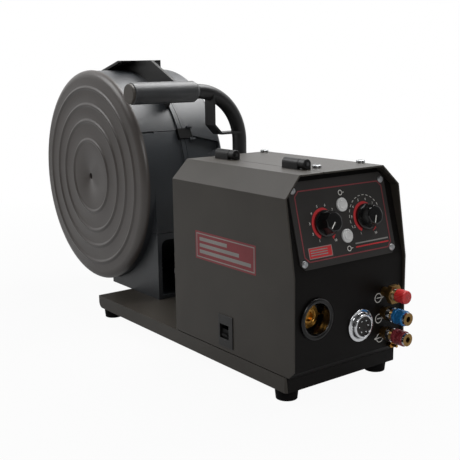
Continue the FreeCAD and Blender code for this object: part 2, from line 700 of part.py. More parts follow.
def latch_slider():
    x0, x1, z0, z1 = latch_window()
    face = -HALF_WIDTH
    paddle = box(x0 + MATE, x1 - MATE, face + 1.5, face + 4.5, z0 + MATE, z1 - LATCH_TRAVEL - MATE)
    tongue = box(x0 + 2, x1 - 2, face + 4.5, STRIKE_Y + SHEET + 4, z0 + 2, z0 + 4)
    hook = box(x0 + 2, x1 - 2, STRIKE_Y + SHEET + 2, STRIKE_Y + SHEET + 4, BASE_TOP + STRIKE_HEIGHT - 5, z0 + 4)
    grip = box(x0 + 3, x1 - 3, face - 0.5, face + 1.5, z0 + 3, z0 + 6)
    return join([paddle, tongue, hook, grip])


def torch_socket():
    z = BASE_TOP + WIRE_HEIGHT
    flange = rod(V(0, TORCH_Y, z), X, COLLAR_RADIUS, COLLAR_DEPTH)
    barrel = rod(V(-COLLAR_INSIDE, TORCH_Y, z), X, COLLAR_BARREL, COLLAR_INSIDE)
    opening = rod(V(-COLLAR_FLOOR, TORCH_Y, z), X, COLLAR_BORE, COLLAR_FLOOR + COLLAR_DEPTH + PAD)
    seat = rod(V(-COLLAR_INSIDE - PAD, TORCH_Y, z), X, CORE_RADIUS, COLLAR_INSIDE + PAD)
    body = join([flange, barrel]).cut(opening).cut(seat)
    for y in torch_pin_spots():
        body = body.cut(rod(V(-COLLAR_INSIDE - PAD, y, z), X, TORCH_PIN_RADIUS, COLLAR_INSIDE + PAD))
    return body


def torch_pin_spots():
    return (TORCH_Y - TORCH_PIN_CIRCLE, TORCH_Y + TORCH_PIN_CIRCLE)


def torch_core():
    z = BASE_TOP + WIRE_HEIGHT
    head = rod(V(-COLLAR_INSIDE, TORCH_Y, z), X, CORE_RADIUS, COLLAR_INSIDE + CORE_FRONT)
    tail = rod(V(-CORE_LENGTH, TORCH_Y, z), X, CORE_TAIL_RADIUS, CORE_LENGTH - COLLAR_INSIDE)
    bore = rod(V(-CORE_LENGTH - PAD, TORCH_Y, z), X, CORE_BORE, CORE_LENGTH + CORE_FRONT + 2 * PAD)
    mouth = rod(V(CORE_FRONT - CORE_MOUTH_DEPTH, TORCH_Y, z), X, CORE_MOUTH, CORE_MOUTH_DEPTH + PAD)
    pins = [rod(V(-COLLAR_INSIDE, y, z), X, TORCH_PIN_RADIUS, COLLAR_INSIDE + CORE_FRONT) for y in torch_pin_spots()]
    return Part.Compound([join([head, tail]).cut(bore).cut(mouth)] + pins)


def control_socket():
    z = BASE_TOP + SOCKET_HEIGHT
    rim = rod(V(0, SOCKET_Y, z), X, SOCKET_RADIUS, SOCKET_RIM)
    barrel = rod(V(-SOCKET_INSIDE, SOCKET_Y, z), X, SOCKET_BARREL, SOCKET_INSIDE)
    nose = Part.makeCone(SOCKET_NOSE_ROOT, SOCKET_NOSE, SOCKET_NOSE_END - SOCKET_RIM, V(SOCKET_RIM, SOCKET_Y, z), X)
    bore = rod(V(-SOCKET_INSIDE - PAD, SOCKET_Y, z), X, SOCKET_BORE, SOCKET_INSIDE + SOCKET_NOSE_END + 2 * PAD)
    return join([rim, barrel, nose]).cut(bore)


def socket_insert():
    z = BASE_TOP + SOCKET_HEIGHT
    body = rod(V(-SOCKET_INSIDE, SOCKET_Y, z), X, SOCKET_BORE, SOCKET_INSIDE + INSERT_FRONT)
    for k in range(INSERT_HOLES):
        angle = 2 * math.pi * k / INSERT_HOLES
        y = SOCKET_Y + INSERT_HOLE_CIRCLE * math.cos(angle)
        h = z + INSERT_HOLE_CIRCLE * math.sin(angle)
        body = body.cut(rod(V(-SOCKET_INSIDE / 2, y, h), X, INSERT_HOLE_RADIUS, SOCKET_INSIDE))
    return body


def gas_outlet():
    z = BASE_TOP + GAS_HEIGHT
    end = GAS_COLLAR + MATE + CAP_LENGTH - CAP_END
    nut = hexagon(OUTLET_Y, z, GAS_HEX_FLATS, *GAS_HEX)
    nut = nut.fuse(rod(V(GAS_HEX[1], OUTLET_Y, z), X, GAS_COLLAR_RADIUS, GAS_COLLAR - GAS_HEX[1]))
    neck = rod(V(0, OUTLET_Y, z), X, NECK_RADIUS, GAS_HEX[0])
    stem = rod(V(-STEM_INSIDE, OUTLET_Y, z), X, STEM_RADIUS, STEM_INSIDE + end - MATE)
    return join([nut, neck, stem]).cut(rod(V(-STEM_INSIDE - PAD, OUTLET_Y, z), X, STEM_RADIUS / 2,
                                           STEM_INSIDE + end + 2 * PAD))


def gas_cap():
    z = BASE_TOP + GAS_HEIGHT
    start = GAS_COLLAR + MATE
    body = rod(V(start, OUTLET_Y, z), X, CAP_RADIUS, CAP_LENGTH)
    body = body.makeFillet(CAP_ROUND, [e for e in body.Edges if abs(e.CenterOfMass.x - start - CAP_LENGTH) < 0.01])
    return body.cut(rod(V(start - PAD, OUTLET_Y, z), X, STEM_RADIUS + RUNNING, CAP_LENGTH - CAP_END + PAD))


def water_nipples():
    parts = []
    for height in (BLUE_HEIGHT, RED_HEIGHT):
        z = BASE_TOP + height
        sleeve_end = sleeve_start() + SLEEVE_LENGTH
        nut = hexagon(OUTLET_Y, z, WATER_HEX_FLATS, *WATER_HEX)
        nut = nut.fuse(rod(V(WATER_HEX[1], OUTLET_Y, z), X, WATER_COLLAR_RADIUS, WATER_COLLAR - WATER_HEX[1]))
        stem = rod(V(-STEM_INSIDE, OUTLET_Y, z), X, STEM_RADIUS, STEM_INSIDE)
        body = rod(V(0, OUTLET_Y, z), X, NIPPLE_RADIUS, sleeve_end + PAD)
        tip = rod(V(sleeve_end + MATE, OUTLET_Y, z), X, TIP_RADIUS, COUPLER_LENGTH - sleeve_end - MATE)
        bore = rod(V(-STEM_INSIDE - PAD, OUTLET_Y, z), X, STEM_RADIUS * 0.7, COUPLER_LENGTH + STEM_INSIDE + 2 * PAD)
        parts.append(join([nut, stem, body, tip]).cut(bore))
    return Part.Compound(parts)


def sleeve_start():
    return WATER_COLLAR + SLEEVE_TRAVEL + MATE


def sleeve(height):
    start = sleeve_start()
    ring = tube(V(start, OUTLET_Y, BASE_TOP + height), X, SLEEVE_RADIUS, NIPPLE_RADIUS + RUNNING, SLEEVE_LENGTH)
    groove = tube(V(start + 4, OUTLET_Y, BASE_TOP + height), X, SLEEVE_RADIUS + PAD, SLEEVE_RADIUS - 0.8, 3)
    return ring.cut(groove)


def earth_stud():
    z = BASE_TOP + EARTH_HEIGHT
    nut = hexagon(EARTH_Y, z, EARTH_FLATS, 0, EARTH_NUT)
    return join([nut, rod(V(-SHEET - EARTH_NUT, EARTH_Y, z), X, EARTH_FLATS / 4, SHEET + EARTH_NUT + EARTH_END)])


def bolt(x, y, z, length):
    head = rod(V(x, y, z), Z, BOLT_HEAD, BOLT_HEAD_HEIGHT)
    head = head.makeFillet(1.2, [e for e in head.Edges if abs(e.CenterOfMass.z - z - BOLT_HEAD_HEIGHT) < 0.01])
    socket = rod(V(x, y, z + 1.5), Z, 2.4, BOLT_HEAD_HEIGHT)
    return join([head.cut(socket), rod(V(x, y, z - length), Z, BOLT_SHANK, length)])


def case_bolts():
    bolts = [bolt(x, y, TOP, BOLT_LENGTH) for x, y in BOLT_SPOTS]
    for x, y in handle_bolt_spots():
        bolts.append(bolt(x, y, BASE_TOP + HANDLE_PLATE_THICK, BOLT_LENGTH))
    return Part.Compound(bolts)


def handle_path(radius):
    # Leg up from the tray, quarter bend, then level out over the housing front
    bend_y = HANDLE_LEG_Y - HANDLE_BEND
    bend_z = BASE_TOP + HANDLE_RISE - HANDLE_BEND
    leg = rod(V(HANDLE_X, HANDLE_LEG_Y, BASE_TOP + HANDLE_PLATE_THICK), Z, radius,
              bend_z - BASE_TOP - HANDLE_PLATE_THICK)
    ring = Part.makeTorus(HANDLE_BEND, radius, V(HANDLE_X, bend_y, bend_z), X)
    reach = HANDLE_BEND + radius + PAD
    quarter = box(HANDLE_X - reach, HANDLE_X + reach, bend_y, bend_y + reach, bend_z, bend_z + reach)
    level = rod(V(HANDLE_X, bend_y, bend_z + HANDLE_BEND), Y * -1, radius, bend_y - GRIP_END)
    return join([leg, ring.common(quarter), level])


def handle_tube():
    plate = box(HANDLE_X - HANDLE_PLATE_HALF, HANDLE_X + HANDLE_PLATE_HALF,
                HANDLE_LEG_Y - HANDLE_PLATE_DEPTH + TUBE_RADIUS, HANDLE_LEG_Y + TUBE_RADIUS,
                BASE_TOP, BASE_TOP + HANDLE_PLATE_THICK)
    for hole in handle_bolt_holes():
        plate = plate.cut(hole)
    tube_shape = handle_path(TUBE_RADIUS).cut(handle_path(TUBE_RADIUS - TUBE_WALL))
    return join([plate, tube_shape])


def handle_grip():
    z = BASE_TOP + HANDLE_RISE
    sleeve_shape = rod(V(HANDLE_X, GRIP_END, z), Y, GRIP_RADIUS, GRIP_START - GRIP_END)
    taper = Part.makeCone(GRIP_RADIUS, TUBE_RADIUS + 1, 6, V(HANDLE_X, GRIP_START, z), Y)
    bore = rod(V(HANDLE_X, GRIP_END - PAD, z), Y, TUBE_RADIUS, GRIP_START - GRIP_END + 20)
    return join([sleeve_shape, taper]).cut(bore)


def handle_plug():
    z = BASE_TOP + HANDLE_RISE
    disc = rod(V(HANDLE_X, GRIP_END, z), Y * -1, PLUG_RADIUS, PLUG_THICK)
    disc = disc.makeFillet(1.5, [e for e in disc.Edges if abs(e.CenterOfMass.y - GRIP_END + PLUG_THICK) < 0.01])
    stem = rod(V(HANDLE_X, GRIP_END, z), Y, TUBE_RADIUS - TUBE_WALL, 12)
    return join([disc, stem])


def lifting_strap():
    bend_y = HANDLE_LEG_Y - HANDLE_BEND
    bend_z = BASE_TOP + HANDLE_RISE - HANDLE_BEND
    high = bend_z + math.sqrt(HANDLE_BEND ** 2 - (STRAP_Y - bend_y) ** 2)
    knee = BASE_TOP + STRAP_KNEE
    level = BASE_TOP + STRAP_LEVEL
    t = STRAP_THICK
    points = [(STRAP_Y - t, high), (STRAP_Y - t, knee), (STRAP_TURN_Y - t * 0.4, level - t),
              (HANDLE_LEG_Y, level - t), (HANDLE_LEG_Y, level), (STRAP_TURN_Y, level),
              (STRAP_Y, knee + t * 0.4), (STRAP_Y, high)]
    strap = prism_x(points, HANDLE_X - STRAP_WIDTH / 2, HANDLE_X + STRAP_WIDTH / 2)
    return strap.cut(handle_path(TUBE_RADIUS))


def round_window(y0, y1, z0, z1, radius, x0, x1):
    opening = box(x0, x1, y0, y1, z0, z1)
    edges = [e for e in opening.Edges if abs(e.CenterOfMass.z - z1) < 0.01 and e.CenterOfMass.x > x0 + 0.01
             and e.CenterOfMass.x < x1 - 0.01]
    return opening.makeFillet(radius, edges)


def joint_band(y0, y1):
    return drum(BAND_RADIUS, y0, y1).cut(drum(DRUM_RADIUS - DRUM_WALL, y0 - PAD, y1 + PAD))


def radial(shape, angle):
    # Local +X points outward from the drum axis at the given angle above the horizontal
    turned = shape.copy()
    turned.rotate(V(0, 0, 0), Y, -angle)
    turned.translate(V(DRUM_X, 0, DRUM_Z))
    return turned


def clip_ears():
    ears = []
    height = CLIP_WIDTH / 2 + MATE
    for side in (-1, 1):
        z0 = height if side > 0 else -height - EAR_WIDTH
        ear = box(DRUM_RADIUS - 2, clip_pin_radius() + CLIP_PIN + 1.5, BAND_RIGHT, BAND_RIGHT + 9, z0, z0 + EAR_WIDTH)
        hole = rod(V(clip_pin_radius(), clip_pin_y(), z0 - PAD), Z, CLIP_PIN + RUNNING, EAR_WIDTH + 2 * PAD)
        ears.append(radial(ear.cut(hole), CLIP_ANGLE))
    return ears


def clip_pin_radius():
    return BAND_RADIUS + MATE + CLIP_THICK / 2


def clip_pin_y():
    return BAND_RIGHT + 5.0


def cover_latch():
    low = BAND_RADIUS + MATE
    high = low + CLIP_THICK
    half = CLIP_WIDTH / 2
    plate = box(low, high, BAND_LEFT - MATE - CLIP_HOOK, clip_pin_y(), -half, half)
    hook = box(DRUM_RADIUS + 0.5, high, BAND_LEFT - MATE - CLIP_HOOK, BAND_LEFT - MATE, -half, half)
    barrel = rod(V(clip_pin_radius(), clip_pin_y(), -half), Z, CLIP_THICK / 2, 2 * half)
    pin = rod(V(clip_pin_radius(), clip_pin_y(), -half - EAR_WIDTH), Z, CLIP_PIN, 2 * half + 2 * EAR_WIDTH)
    return radial(join([plate, hook, barrel, pin.common(barrel_pin_limit(half))]), CLIP_ANGLE)


def barrel_pin_limit(half):
    far = half + MATE + EAR_WIDTH
    centre = clip_pin_radius()
    return box(centre - 5, centre + 5, clip_pin_y() - 5, clip_pin_y() + 5, -far, far)


def hand_recess(grow, deep):
    middle = (RECESS_ANGLES[0] + RECESS_ANGLES[1]) / 2
    half = DRUM_RADIUS * math.radians(RECESS_ANGLES[1] - RECESS_ANGLES[0]) / 2 + grow
    y0 = RECESS_LEFT - grow
    y1 = RECESS_RIGHT + grow
    points = [(y0, half), (y0, -half * 0.55), (y0 + 12, -half), (y0 + 32, -half), (y1, -half * 0.45), (y1, half * 0.1)]
    block = face_of([V(DRUM_RADIUS - deep, y, z) for y, z in points]).extrude(X * 40)
    return radial(block, middle)


def housing_half():
    block_front = DRUM_FRONT
    w = DRUM_WALL
    joint = JOINT_Y + MATE
    shell = rod(V(DRUM_X, joint, DRUM_Z), Y, DRUM_RADIUS, DRUM_RIGHT - joint)
    block = box(FOOT_BLOCK_REAR, block_front, joint, DRUM_RIGHT, BASE_TOP, DRUM_Z)
    left = box(FOOT_BLOCK_REAR, block_front, FOOT_BLOCK_LEFT, joint, BASE_TOP, BASE_TOP + FOOT_BLOCK_HEIGHT)
    left = left.cut(drum(DRUM_RADIUS + FOOT_GAP, FOOT_BLOCK_LEFT - PAD, joint))
    outer = join([shell, block])
    rim = [e for e in outer.Edges if abs(e.CenterOfMass.y - DRUM_RIGHT) < 0.01]
    outer = join([outer.makeFillet(END_ROUND, rim), left])
    inner_right = DRUM_RIGHT - w
    hollow = join([drum(DRUM_RADIUS - w, joint - PAD, inner_right),
                   box(FOOT_BLOCK_REAR + w, block_front - w, joint - PAD, inner_right, BASE_TOP + w, DRUM_Z),
                   box(FOOT_BLOCK_REAR + w, block_front - w, FOOT_BLOCK_LEFT + w, joint,
                       BASE_TOP + w, BASE_TOP + FOOT_BLOCK_HEIGHT - w)])
    body = outer.cut(hollow)
    body = join([body, joint_band(joint, BAND_RIGHT).cut(foot_zone(joint, BAND_RIGHT, w))])
    body = body.fuse(hand_recess(RECESS_WALL, RECESS_DEPTH + RECESS_WALL).common(drum(DRUM_RADIUS, joint, DRUM_RIGHT)))
    body = body.cut(hand_recess(0, RECESS_DEPTH))
    body = body.cut(round_window(WINDOW_LEFT, WINDOW_RIGHT, BASE_TOP + WINDOW_LOW, BASE_TOP + WINDOW_HIGH,
                                 WINDOW_ROUND, block_front - w - PAD, block_front + PAD))
    x, y, z = PIPE_START
    holder = box(x + HOLDER_SPAN[0], x + HOLDER_SPAN[1], y - HOLDER_HALF, y + HOLDER_HALF, BASE_TOP + w, z + HOLDER_HALF)
    holder = holder.cut(rod(V(x, y, z), X, INLET_RADIUS + PIPE_WALL, PIPE_INSET))
    return join([body, holder] + clip_ears())


def foot_zone(y0, y1, inset):
    return box(FOOT_BLOCK_REAR - 5 + inset, DRUM_FRONT + 20, y0 - PAD, y1 + PAD, BASE_TOP - 20,
               BASE_TOP + FOOT_BLOCK_HEIGHT - inset)


def cover_shell():
    w = DRUM_WALL
    joint = JOINT_Y - MATE
    low = BASE_TOP + FOOT_BLOCK_HEIGHT + FOOT_GAP
    shell = join([drum(DRUM_RADIUS, DRUM_LEFT, joint),
                  box(DRUM_X + DRUM_RADIUS / 2, DRUM_FRONT, FOOT_BLOCK_LEFT, joint, low, DRUM_Z)])
    hollow = join([drum(DRUM_RADIUS - w, DRUM_LEFT - PAD, joint + PAD),
                   box(DRUM_X + DRUM_RADIUS / 2, DRUM_FRONT - w, FOOT_BLOCK_LEFT + w, joint + PAD, low + w, DRUM_Z)])
    band = joint_band(BAND_LEFT, joint).cut(foot_zone(BAND_LEFT, joint, -2 * FOOT_GAP))
    shell = join([shell.cut(hollow), band])
    surface = DRUM_RADIUS - SEAM_DEPTH
    line = box(surface, DRUM_RADIUS + PAD, BAND_LEFT - 42, BAND_LEFT - 3, -SEAM_WIDTH / 2, SEAM_WIDTH / 2)
    slot = box(surface - 1, DRUM_RADIUS + PAD, DRUM_LEFT + 0.5, BAND_LEFT - 42, -SEAM_SLOT / 2, SEAM_SLOT / 2)
    return shell.cut(radial(line, SEAM_ANGLE)).cut(radial(slot, SEAM_ANGLE))


def cover_disc():
    # Rim, then raised and lowered ring bands towards the centre
    levels = [CAP_FACE_Y, CAP_FACE_Y + CAP_STEP, CAP_FACE_Y, CAP_FACE_Y + CAP_STEP]
    points = [(CAP_RIM, DRUM_LEFT), (CAP_RIM, CAP_RIM_Y), (CAP_RIM - 4, CAP_RIM_Y - 3)]
    outer = CAP_RIM - 4
    for ring_radius, level in zip(CAP_RINGS, levels):
        points += [(ring_radius + 2, points[-1][1] if outer != CAP_RIM - 4 else level + 0.6), (ring_radius, level)]
        outer = ring_radius
    points += [(CAP_HOLE, levels[-1]), (CAP_HOLE, CAP_FACE_Y + CAP_STEP + CAP_SKIN)]
    points += [(CAP_RIM - 12, CAP_RIM_Y + CAP_SKIN - 1), (CAP_RIM - 12, DRUM_LEFT)]
    wire = Part.makePolygon([V(DRUM_X + r, y, DRUM_Z) for r, y in points + points[:1]])
    return Part.Face(wire).revolve(V(DRUM_X, 0, DRUM_Z), Y, 360)


def trapezoid(back=0):
    top = HINGE_Z + HINGE_RADIUS
    front = HINGE_FRONT[0] - back
    return [(HINGE_REAR[0], HINGE_REAR[1] - WING_DROP[0]), HINGE_REAR, (HINGE_TOP[0], top),
            (HINGE_TOP[1] - back, top), (front, HINGE_FRONT[1]), (front - WING_DROP[0], HINGE_FRONT[1] - WING_DROP[1])]


def housing_hinge():
    right = BAND_RIGHT
    wall = prism_y(trapezoid(WING_BACK), right - BRACKET_THICK, right).cut(drum(BAND_RADIUS, 0, right + PAD))
    parts = [wall]
    for x0, x1 in ((HINGE_TOP[0], HINGE_NOTCH[0]), (HINGE_NOTCH[1], HINGE_TOP[1])):
        parts.append(rod(V(x0, JOINT_Y, HINGE_Z), X, HINGE_RADIUS, x1 - x0))
        parts.append(box(x0, x1, JOINT_Y, right, HINGE_Z - HINGE_RADIUS, HINGE_Z + HINGE_RADIUS))
    notch = rod(V(HINGE_NOTCH[0], JOINT_Y, HINGE_Z), X, HINGE_RADIUS + KNUCKLE_GAP, HINGE_NOTCH[1] - HINGE_NOTCH[0])
    above = box(HINGE_NOTCH[0], HINGE_NOTCH[1], JOINT_Y, right + PAD, HINGE_Z, HINGE_Z + HINGE_RADIUS + PAD)
    bracket = join(parts).cut(notch).cut(above)
    length = HINGE_TOP[1] - HINGE_TOP[0] + 4 * PAD
    return bracket.cut(rod(V(HINGE_TOP[0] - 2 * PAD, JOINT_Y, HINGE_Z), X, HINGE_PIN_RADIUS, length))


def cover_hinge():
    left = BRACKET_LEFT
    wall = prism_y(trapezoid(), left, left + BRACKET_THICK)
    x0 = HINGE_NOTCH[0] + KNUCKLE_GAP
    x1 = HINGE_NOTCH[1] - KNUCKLE_GAP
    barrel = rod(V(x0, JOINT_Y, HINGE_Z), X, HINGE_RADIUS, x1 - x0)
    web = box(x0, x1, left, JOINT_Y, HINGE_Z - HINGE_RADIUS + 1, HINGE_Z + HINGE_RADIUS)
    top = HINGE_Z + HINGE_RADIUS
    rear = HINGE_REAR
    slope = math.atan2(top - rear[1], HINGE_TOP[0] - rear[0])
    drop = LIP_THICK / math.cos(slope)
    lip = prism_y([rear, (HINGE_TOP[0], top), (HINGE_TOP[0] + 12, top), (HINGE_TOP[0] + 12, top - LIP_THICK),
                   (HINGE_TOP[0], top - drop), (rear[0], rear[1] - drop)], left - LIP_WIDTH, left)
    parts = [wall, barrel, web, lip]
    pitch = (LIP_WIDTH - RIB_WIDTH) / LIP_RIBS
    for k in range(LIP_RIBS + 1):
        y = left - LIP_WIDTH + k * pitch
        low = drop + RIB_HEIGHT
        parts.append(prism_y([(rear[0], rear[1] - PAD), (HINGE_TOP[0], top - PAD), (HINGE_TOP[0], top - low),
                              (rear[0], rear[1] - low)], y, y + RIB_WIDTH))
    bracket = join(parts).cut(drum(DRUM_RADIUS, left - LIP_WIDTH - PAD, JOINT_Y))
    return bracket.cut(rod(V(x0 - PAD, JOINT_Y, HINGE_Z), X, HINGE_PIN_RADIUS + RUNNING, x1 - x0 + 2 * PAD))


def spool_axle():
    wall = DRUM_RIGHT - DRUM_WALL
    post = drum(AXLE_RADIUS, wall - AXLE_REACH, wall)
    return join([post, drum(AXLE_FLANGE, wall - AXLE_FLANGE_THICK, wall)])


def spool_hub():
    left, right = SPOOL_LEFT, SPOOL_RIGHT
    body = join([drum(HUB_RADIUS, left, right + HUB_FLANGE_THICK), drum(HUB_FLANGE, right, right + HUB_FLANGE_THICK)])
    bore = drum(AXLE_RADIUS + RUNNING, DRUM_RIGHT - DRUM_WALL - AXLE_REACH - MATE, right + 2 * HUB_FLANGE_THICK)
    return body.cut(bore).cut(drum(LOCK_STEM + RUNNING, left - PAD, left + LOCK_DEPTH))


def hub_lock():
    left, right = SPOOL_LEFT, SPOOL_RIGHT
    stem = drum(LOCK_STEM, left - LOCK_THICK, left + LOCK_DEPTH - MATE)
    disc = drum(LOCK_DISC, left - MATE - LOCK_THICK, left - MATE)
    knob_shape = drum(LOCK_GRIP, left - LOCK_KNOB, left - LOCK_THICK)
    parts = [stem, disc, knob_shape]
    for k in range(3):
        lug = box(0, LOCK_LUG, left - MATE - LOCK_THICK, left - MATE,
                  -LOCK_LUG_HALF, LOCK_LUG_HALF)
        parts.append(radial(lug, 90 + 120 * k))
    return join(parts)


def wire_spool():
    left, right = SPOOL_LEFT, SPOOL_RIGHT
    bore = drum(SPOOL_BORE, left - PAD, right + PAD)
    parts = [drum(SPOOL_RADIUS, left, left + SPOOL_SKIN), drum(SPOOL_RADIUS, right - SPOOL_SKIN, right)]
    for radius in (SPOOL_CORE, SPOOL_BORE + CORE_SKIN):
        parts.append(drum(radius, left, right).cut(drum(radius - CORE_SKIN, left, right)))
    return join(parts).cut(bore)


def wire_winding():
    left, right = SPOOL_LEFT, SPOOL_RIGHT
    return drum(WINDING_RADIUS, left + SPOOL_SKIN, right - SPOOL_SKIN).cut(drum(SPOOL_CORE, left, right))


def toothed(x, z, teeth, phase, y0, y1):
    pitch = GEAR_MODULE * teeth / 2
    points = []
    for k in range(teeth):
        centre = phase + 2 * math.pi * k / teeth
        step = 2 * math.pi / teeth
        for share, radius in ((-0.36, pitch - 1.15 * GEAR_MODULE), (-0.12, pitch + 0.9 * GEAR_MODULE),
                              (0.12, pitch + 0.9 * GEAR_MODULE), (0.36, pitch - 1.15 * GEAR_MODULE)):
            angle = centre + share * step
            points.append((x + radius * math.cos(angle), z + radius * math.sin(angle)))
    return prism_y(points, y0, y1)


def roll_faces():
    return TORCH_Y - ROLL_WIDTH / 2, TORCH_Y + ROLL_WIDTH / 2


def feed_roll(x, z, phase):
    y0, y1 = roll_faces()
    body = rod(V(x, y0, z), Y, ROLL_RADIUS, ROLL_WIDTH)
    groove = tube(V(x, TORCH_Y - WIRE_RADIUS, z), Y, ROLL_RADIUS + PAD, ROLL_RADIUS - WIRE_RADIUS / 2, 2 * WIRE_RADIUS)
    gear = toothed(x, z, GEAR_TEETH, phase, GEAR_PLANE - GEAR_WIDTH, GEAR_PLANE)
    link = rod(V(x, y1 - PAD, z), Y, ROLL_RADIUS - 4, GEAR_PLANE - GEAR_WIDTH - y1 + 2 * PAD)
    return join([body.cut(groove), gear, link]).cut(rod(V(x, y0 - PAD, z), Y, ROLL_PIN + RUNNING, 60))


def pinion_angle(x):
    return math.atan2(LOWER_ROLL_Z - MOTOR_Z, x - MOTOR_X)


def roll_phase(x):
    # A pinion tooth points at the rear roll, which shows it a gap; the front roll takes up the remainder of a tooth
    step = 2 * math.pi / GEAR_TEETH
    teeth_between = (pinion_angle(x) - pinion_angle(ROLL_X[0])) * PINION_TEETH / (2 * math.pi)
    return pinion_angle(x) + math.pi + step / 2 + (teeth_between - math.floor(teeth_between)) * step


def lower_roll(x):
    return feed_roll(x, LOWER_ROLL_Z, roll_phase(x))


def upper_roll(x):
    return feed_roll(x, UPPER_ROLL_Z, math.pi / GEAR_TEETH - roll_phase(x))


def motor_gear():
    gear = toothed(MOTOR_X, MOTOR_Z, PINION_TEETH, pinion_angle(ROLL_X[0]), GEAR_PLANE - GEAR_WIDTH, GEAR_PLANE)
    shaft = rod(V(MOTOR_X, GEAR_PLANE - GEAR_WIDTH - 2, MOTOR_Z), Y, MOTOR_SHAFT, PLATE_BACK + 20 - GEAR_PLANE)
    return join([gear, shaft])


def drive_motor():
    body = rod(V(MOTOR_X, PLATE_BACK, MOTOR_Z), Y, MOTOR_RADIUS, MOTOR_LENGTH)
    return body.cut(rod(V(MOTOR_X, PLATE_BACK - PAD, MOTOR_Z), Y, MOTOR_SHAFT + RUNNING, 20))


def plate_front():
    return PLATE_BACK - DRIVE_PLATE_THICK


def drive_plate():
    y = plate_front()
    parts = [box(DRIVE_PLATE_X[0], DRIVE_PLATE_X[1], y, PLATE_BACK, BASE_TOP + DRIVE_PLATE_Z[0],
                 BASE_TOP + DRIVE_PLATE_Z[1])]
    for x in (DRIVE_PLATE_X[0] + 8, DRIVE_PLATE_X[1] - 8):
        parts.append(rod(V(x, PLATE_BACK, BASE_TOP + DRIVE_PLATE_Z[1] - 8), Y, 6, WALL_Y - PLATE_BACK))
        parts.append(rod(V(x, PLATE_BACK, BASE_TOP + DRIVE_PLATE_Z[0] + 8), Y, 6, WALL_Y - PLATE_BACK))
    for x in ROLL_X:
        parts.append(rod(V(x, roll_faces()[0], LOWER_ROLL_Z), Y, ROLL_PIN, y - roll_faces()[0]))
        parts.append(rod(V(x, GEAR_PLANE + MATE, LOWER_ROLL_Z), Y, ROLL_PIN + 3, y - GEAR_PLANE - MATE))
    pivot_z = BASE_TOP + ARM_PIVOT[1]
    parts.append(rod(V(ARM_PIVOT[0], ARM_Y[0], pivot_z), Y, ARM_PIN, y - ARM_Y[0]))
    parts.append(rod(V(KNOB_X, KNOB_Y - POST_RADIUS, BASE_TOP + POST_HEIGHT), Y, POST_RADIUS, y - KNOB_Y + POST_RADIUS))
    plate = join(parts)
    return plate.cut(rod(V(MOTOR_X, y - PAD, MOTOR_Z), Y, MOTOR_SHAFT + RUNNING, 20))


def pressure_arm():
    px = ARM_PIVOT[0]
    pz = BASE_TOP + ARM_PIVOT[1]
    y0, y1 = ARM_Y
    low = UPPER_ROLL_Z - ARM_BOSS
    arm = box(px, ARM_END, y0, y1, low, low + 2 * ARM_BOSS)
    boss = rod(V(px, y0, pz), Y, ARM_BOSS, plate_front() - MATE - y0)
    nose_low = BASE_TOP + NOSE_TOP - 8
    nose = box(ARM_END - 4, KNOB_X + KNOB_STEM + 3, y0 - 4, roll_faces()[0] - 0.5, nose_low, BASE_TOP + NOSE_TOP)
    slot = rod(V(KNOB_X, KNOB_Y, nose_low - PAD), Z, KNOB_STEM + RUNNING, 10)
    body = join([arm, boss, nose]).cut(slot)
    body = body.cut(rod(V(px, y0 - PAD, pz), Y, ARM_PIN + RUNNING, 60))
    pins = []
    for x in ROLL_X:
        pins.append(rod(V(x, y1, UPPER_ROLL_Z), Y, ROLL_PIN, GEAR_PLANE - y1))
        pins.append(rod(V(x, y1, UPPER_ROLL_Z), Y, ROLL_PIN + 3, roll_faces()[0] - MATE - y1))
    return join([body] + pins)


def pressure_knob():
    knob_low = BASE_TOP + NOSE_TOP + MATE
    start = BASE_TOP + POST_HEIGHT + POST_RADIUS + MATE
    stem = rod(V(KNOB_X, KNOB_Y, start), Z, KNOB_STEM, knob_low - start)
    grip = rod(V(KNOB_X, KNOB_Y, knob_low), Z, KNOB_GRIP, KNOB_LENGTH)
    return join([stem, grip])


def wire_guides():
    inlet = rod(V(INLET_REAR, TORCH_Y, WIRE_Z), X, INLET_RADIUS, ROLL_X[0] - ROLL_RADIUS - 6 - INLET_REAR)
    inlet = join([inlet, rod(V(ROLL_X[0] - ROLL_RADIUS - 8, TORCH_Y, WIRE_Z), X, GUIDE_RADIUS, 12)])
    middle_x = MOTOR_X
    middle = join([rod(V(middle_x - 14, TORCH_Y, WIRE_Z), X, GUIDE_RADIUS, 28),
                   box(middle_x - 9, middle_x + 9, TORCH_Y - GUIDE_RADIUS, plate_front(), WIRE_Z - GUIDE_RADIUS,
                       WIRE_Z + GUIDE_RADIUS)])
    start = ROLL_X[1] + ROLL_RADIUS - 6
    outlet = join([rod(V(start, TORCH_Y, WIRE_Z), X, GUIDE_RADIUS, -CORE_LENGTH - start),
                   box(DRIVE_PLATE_X[1] - 16, DRIVE_PLATE_X[1], TORCH_Y - GUIDE_RADIUS, plate_front(),
                       WIRE_Z - GUIDE_RADIUS, WIRE_Z + GUIDE_RADIUS)])
    bore = rod(V(INLET_REAR - PAD, TORCH_Y, WIRE_Z), X, GUIDE_BORE, -INLET_REAR)
    return Part.Compound([part.cut(bore) for part in (inlet, middle, outlet)])


def gas_valve():
    y, height = VALVE_SPOT
    length, width, tall = VALVE_SIZE
    x = -CABINET_LENGTH + SHEET
    block = box(x, x + length, y - width / 2, y + width / 2, BASE_TOP + height, BASE_TOP + height + tall)
    coil = rod(V(x + length / 2, y, BASE_TOP + height + tall), Z, length * 0.4, 16)
    return join([block, coil])


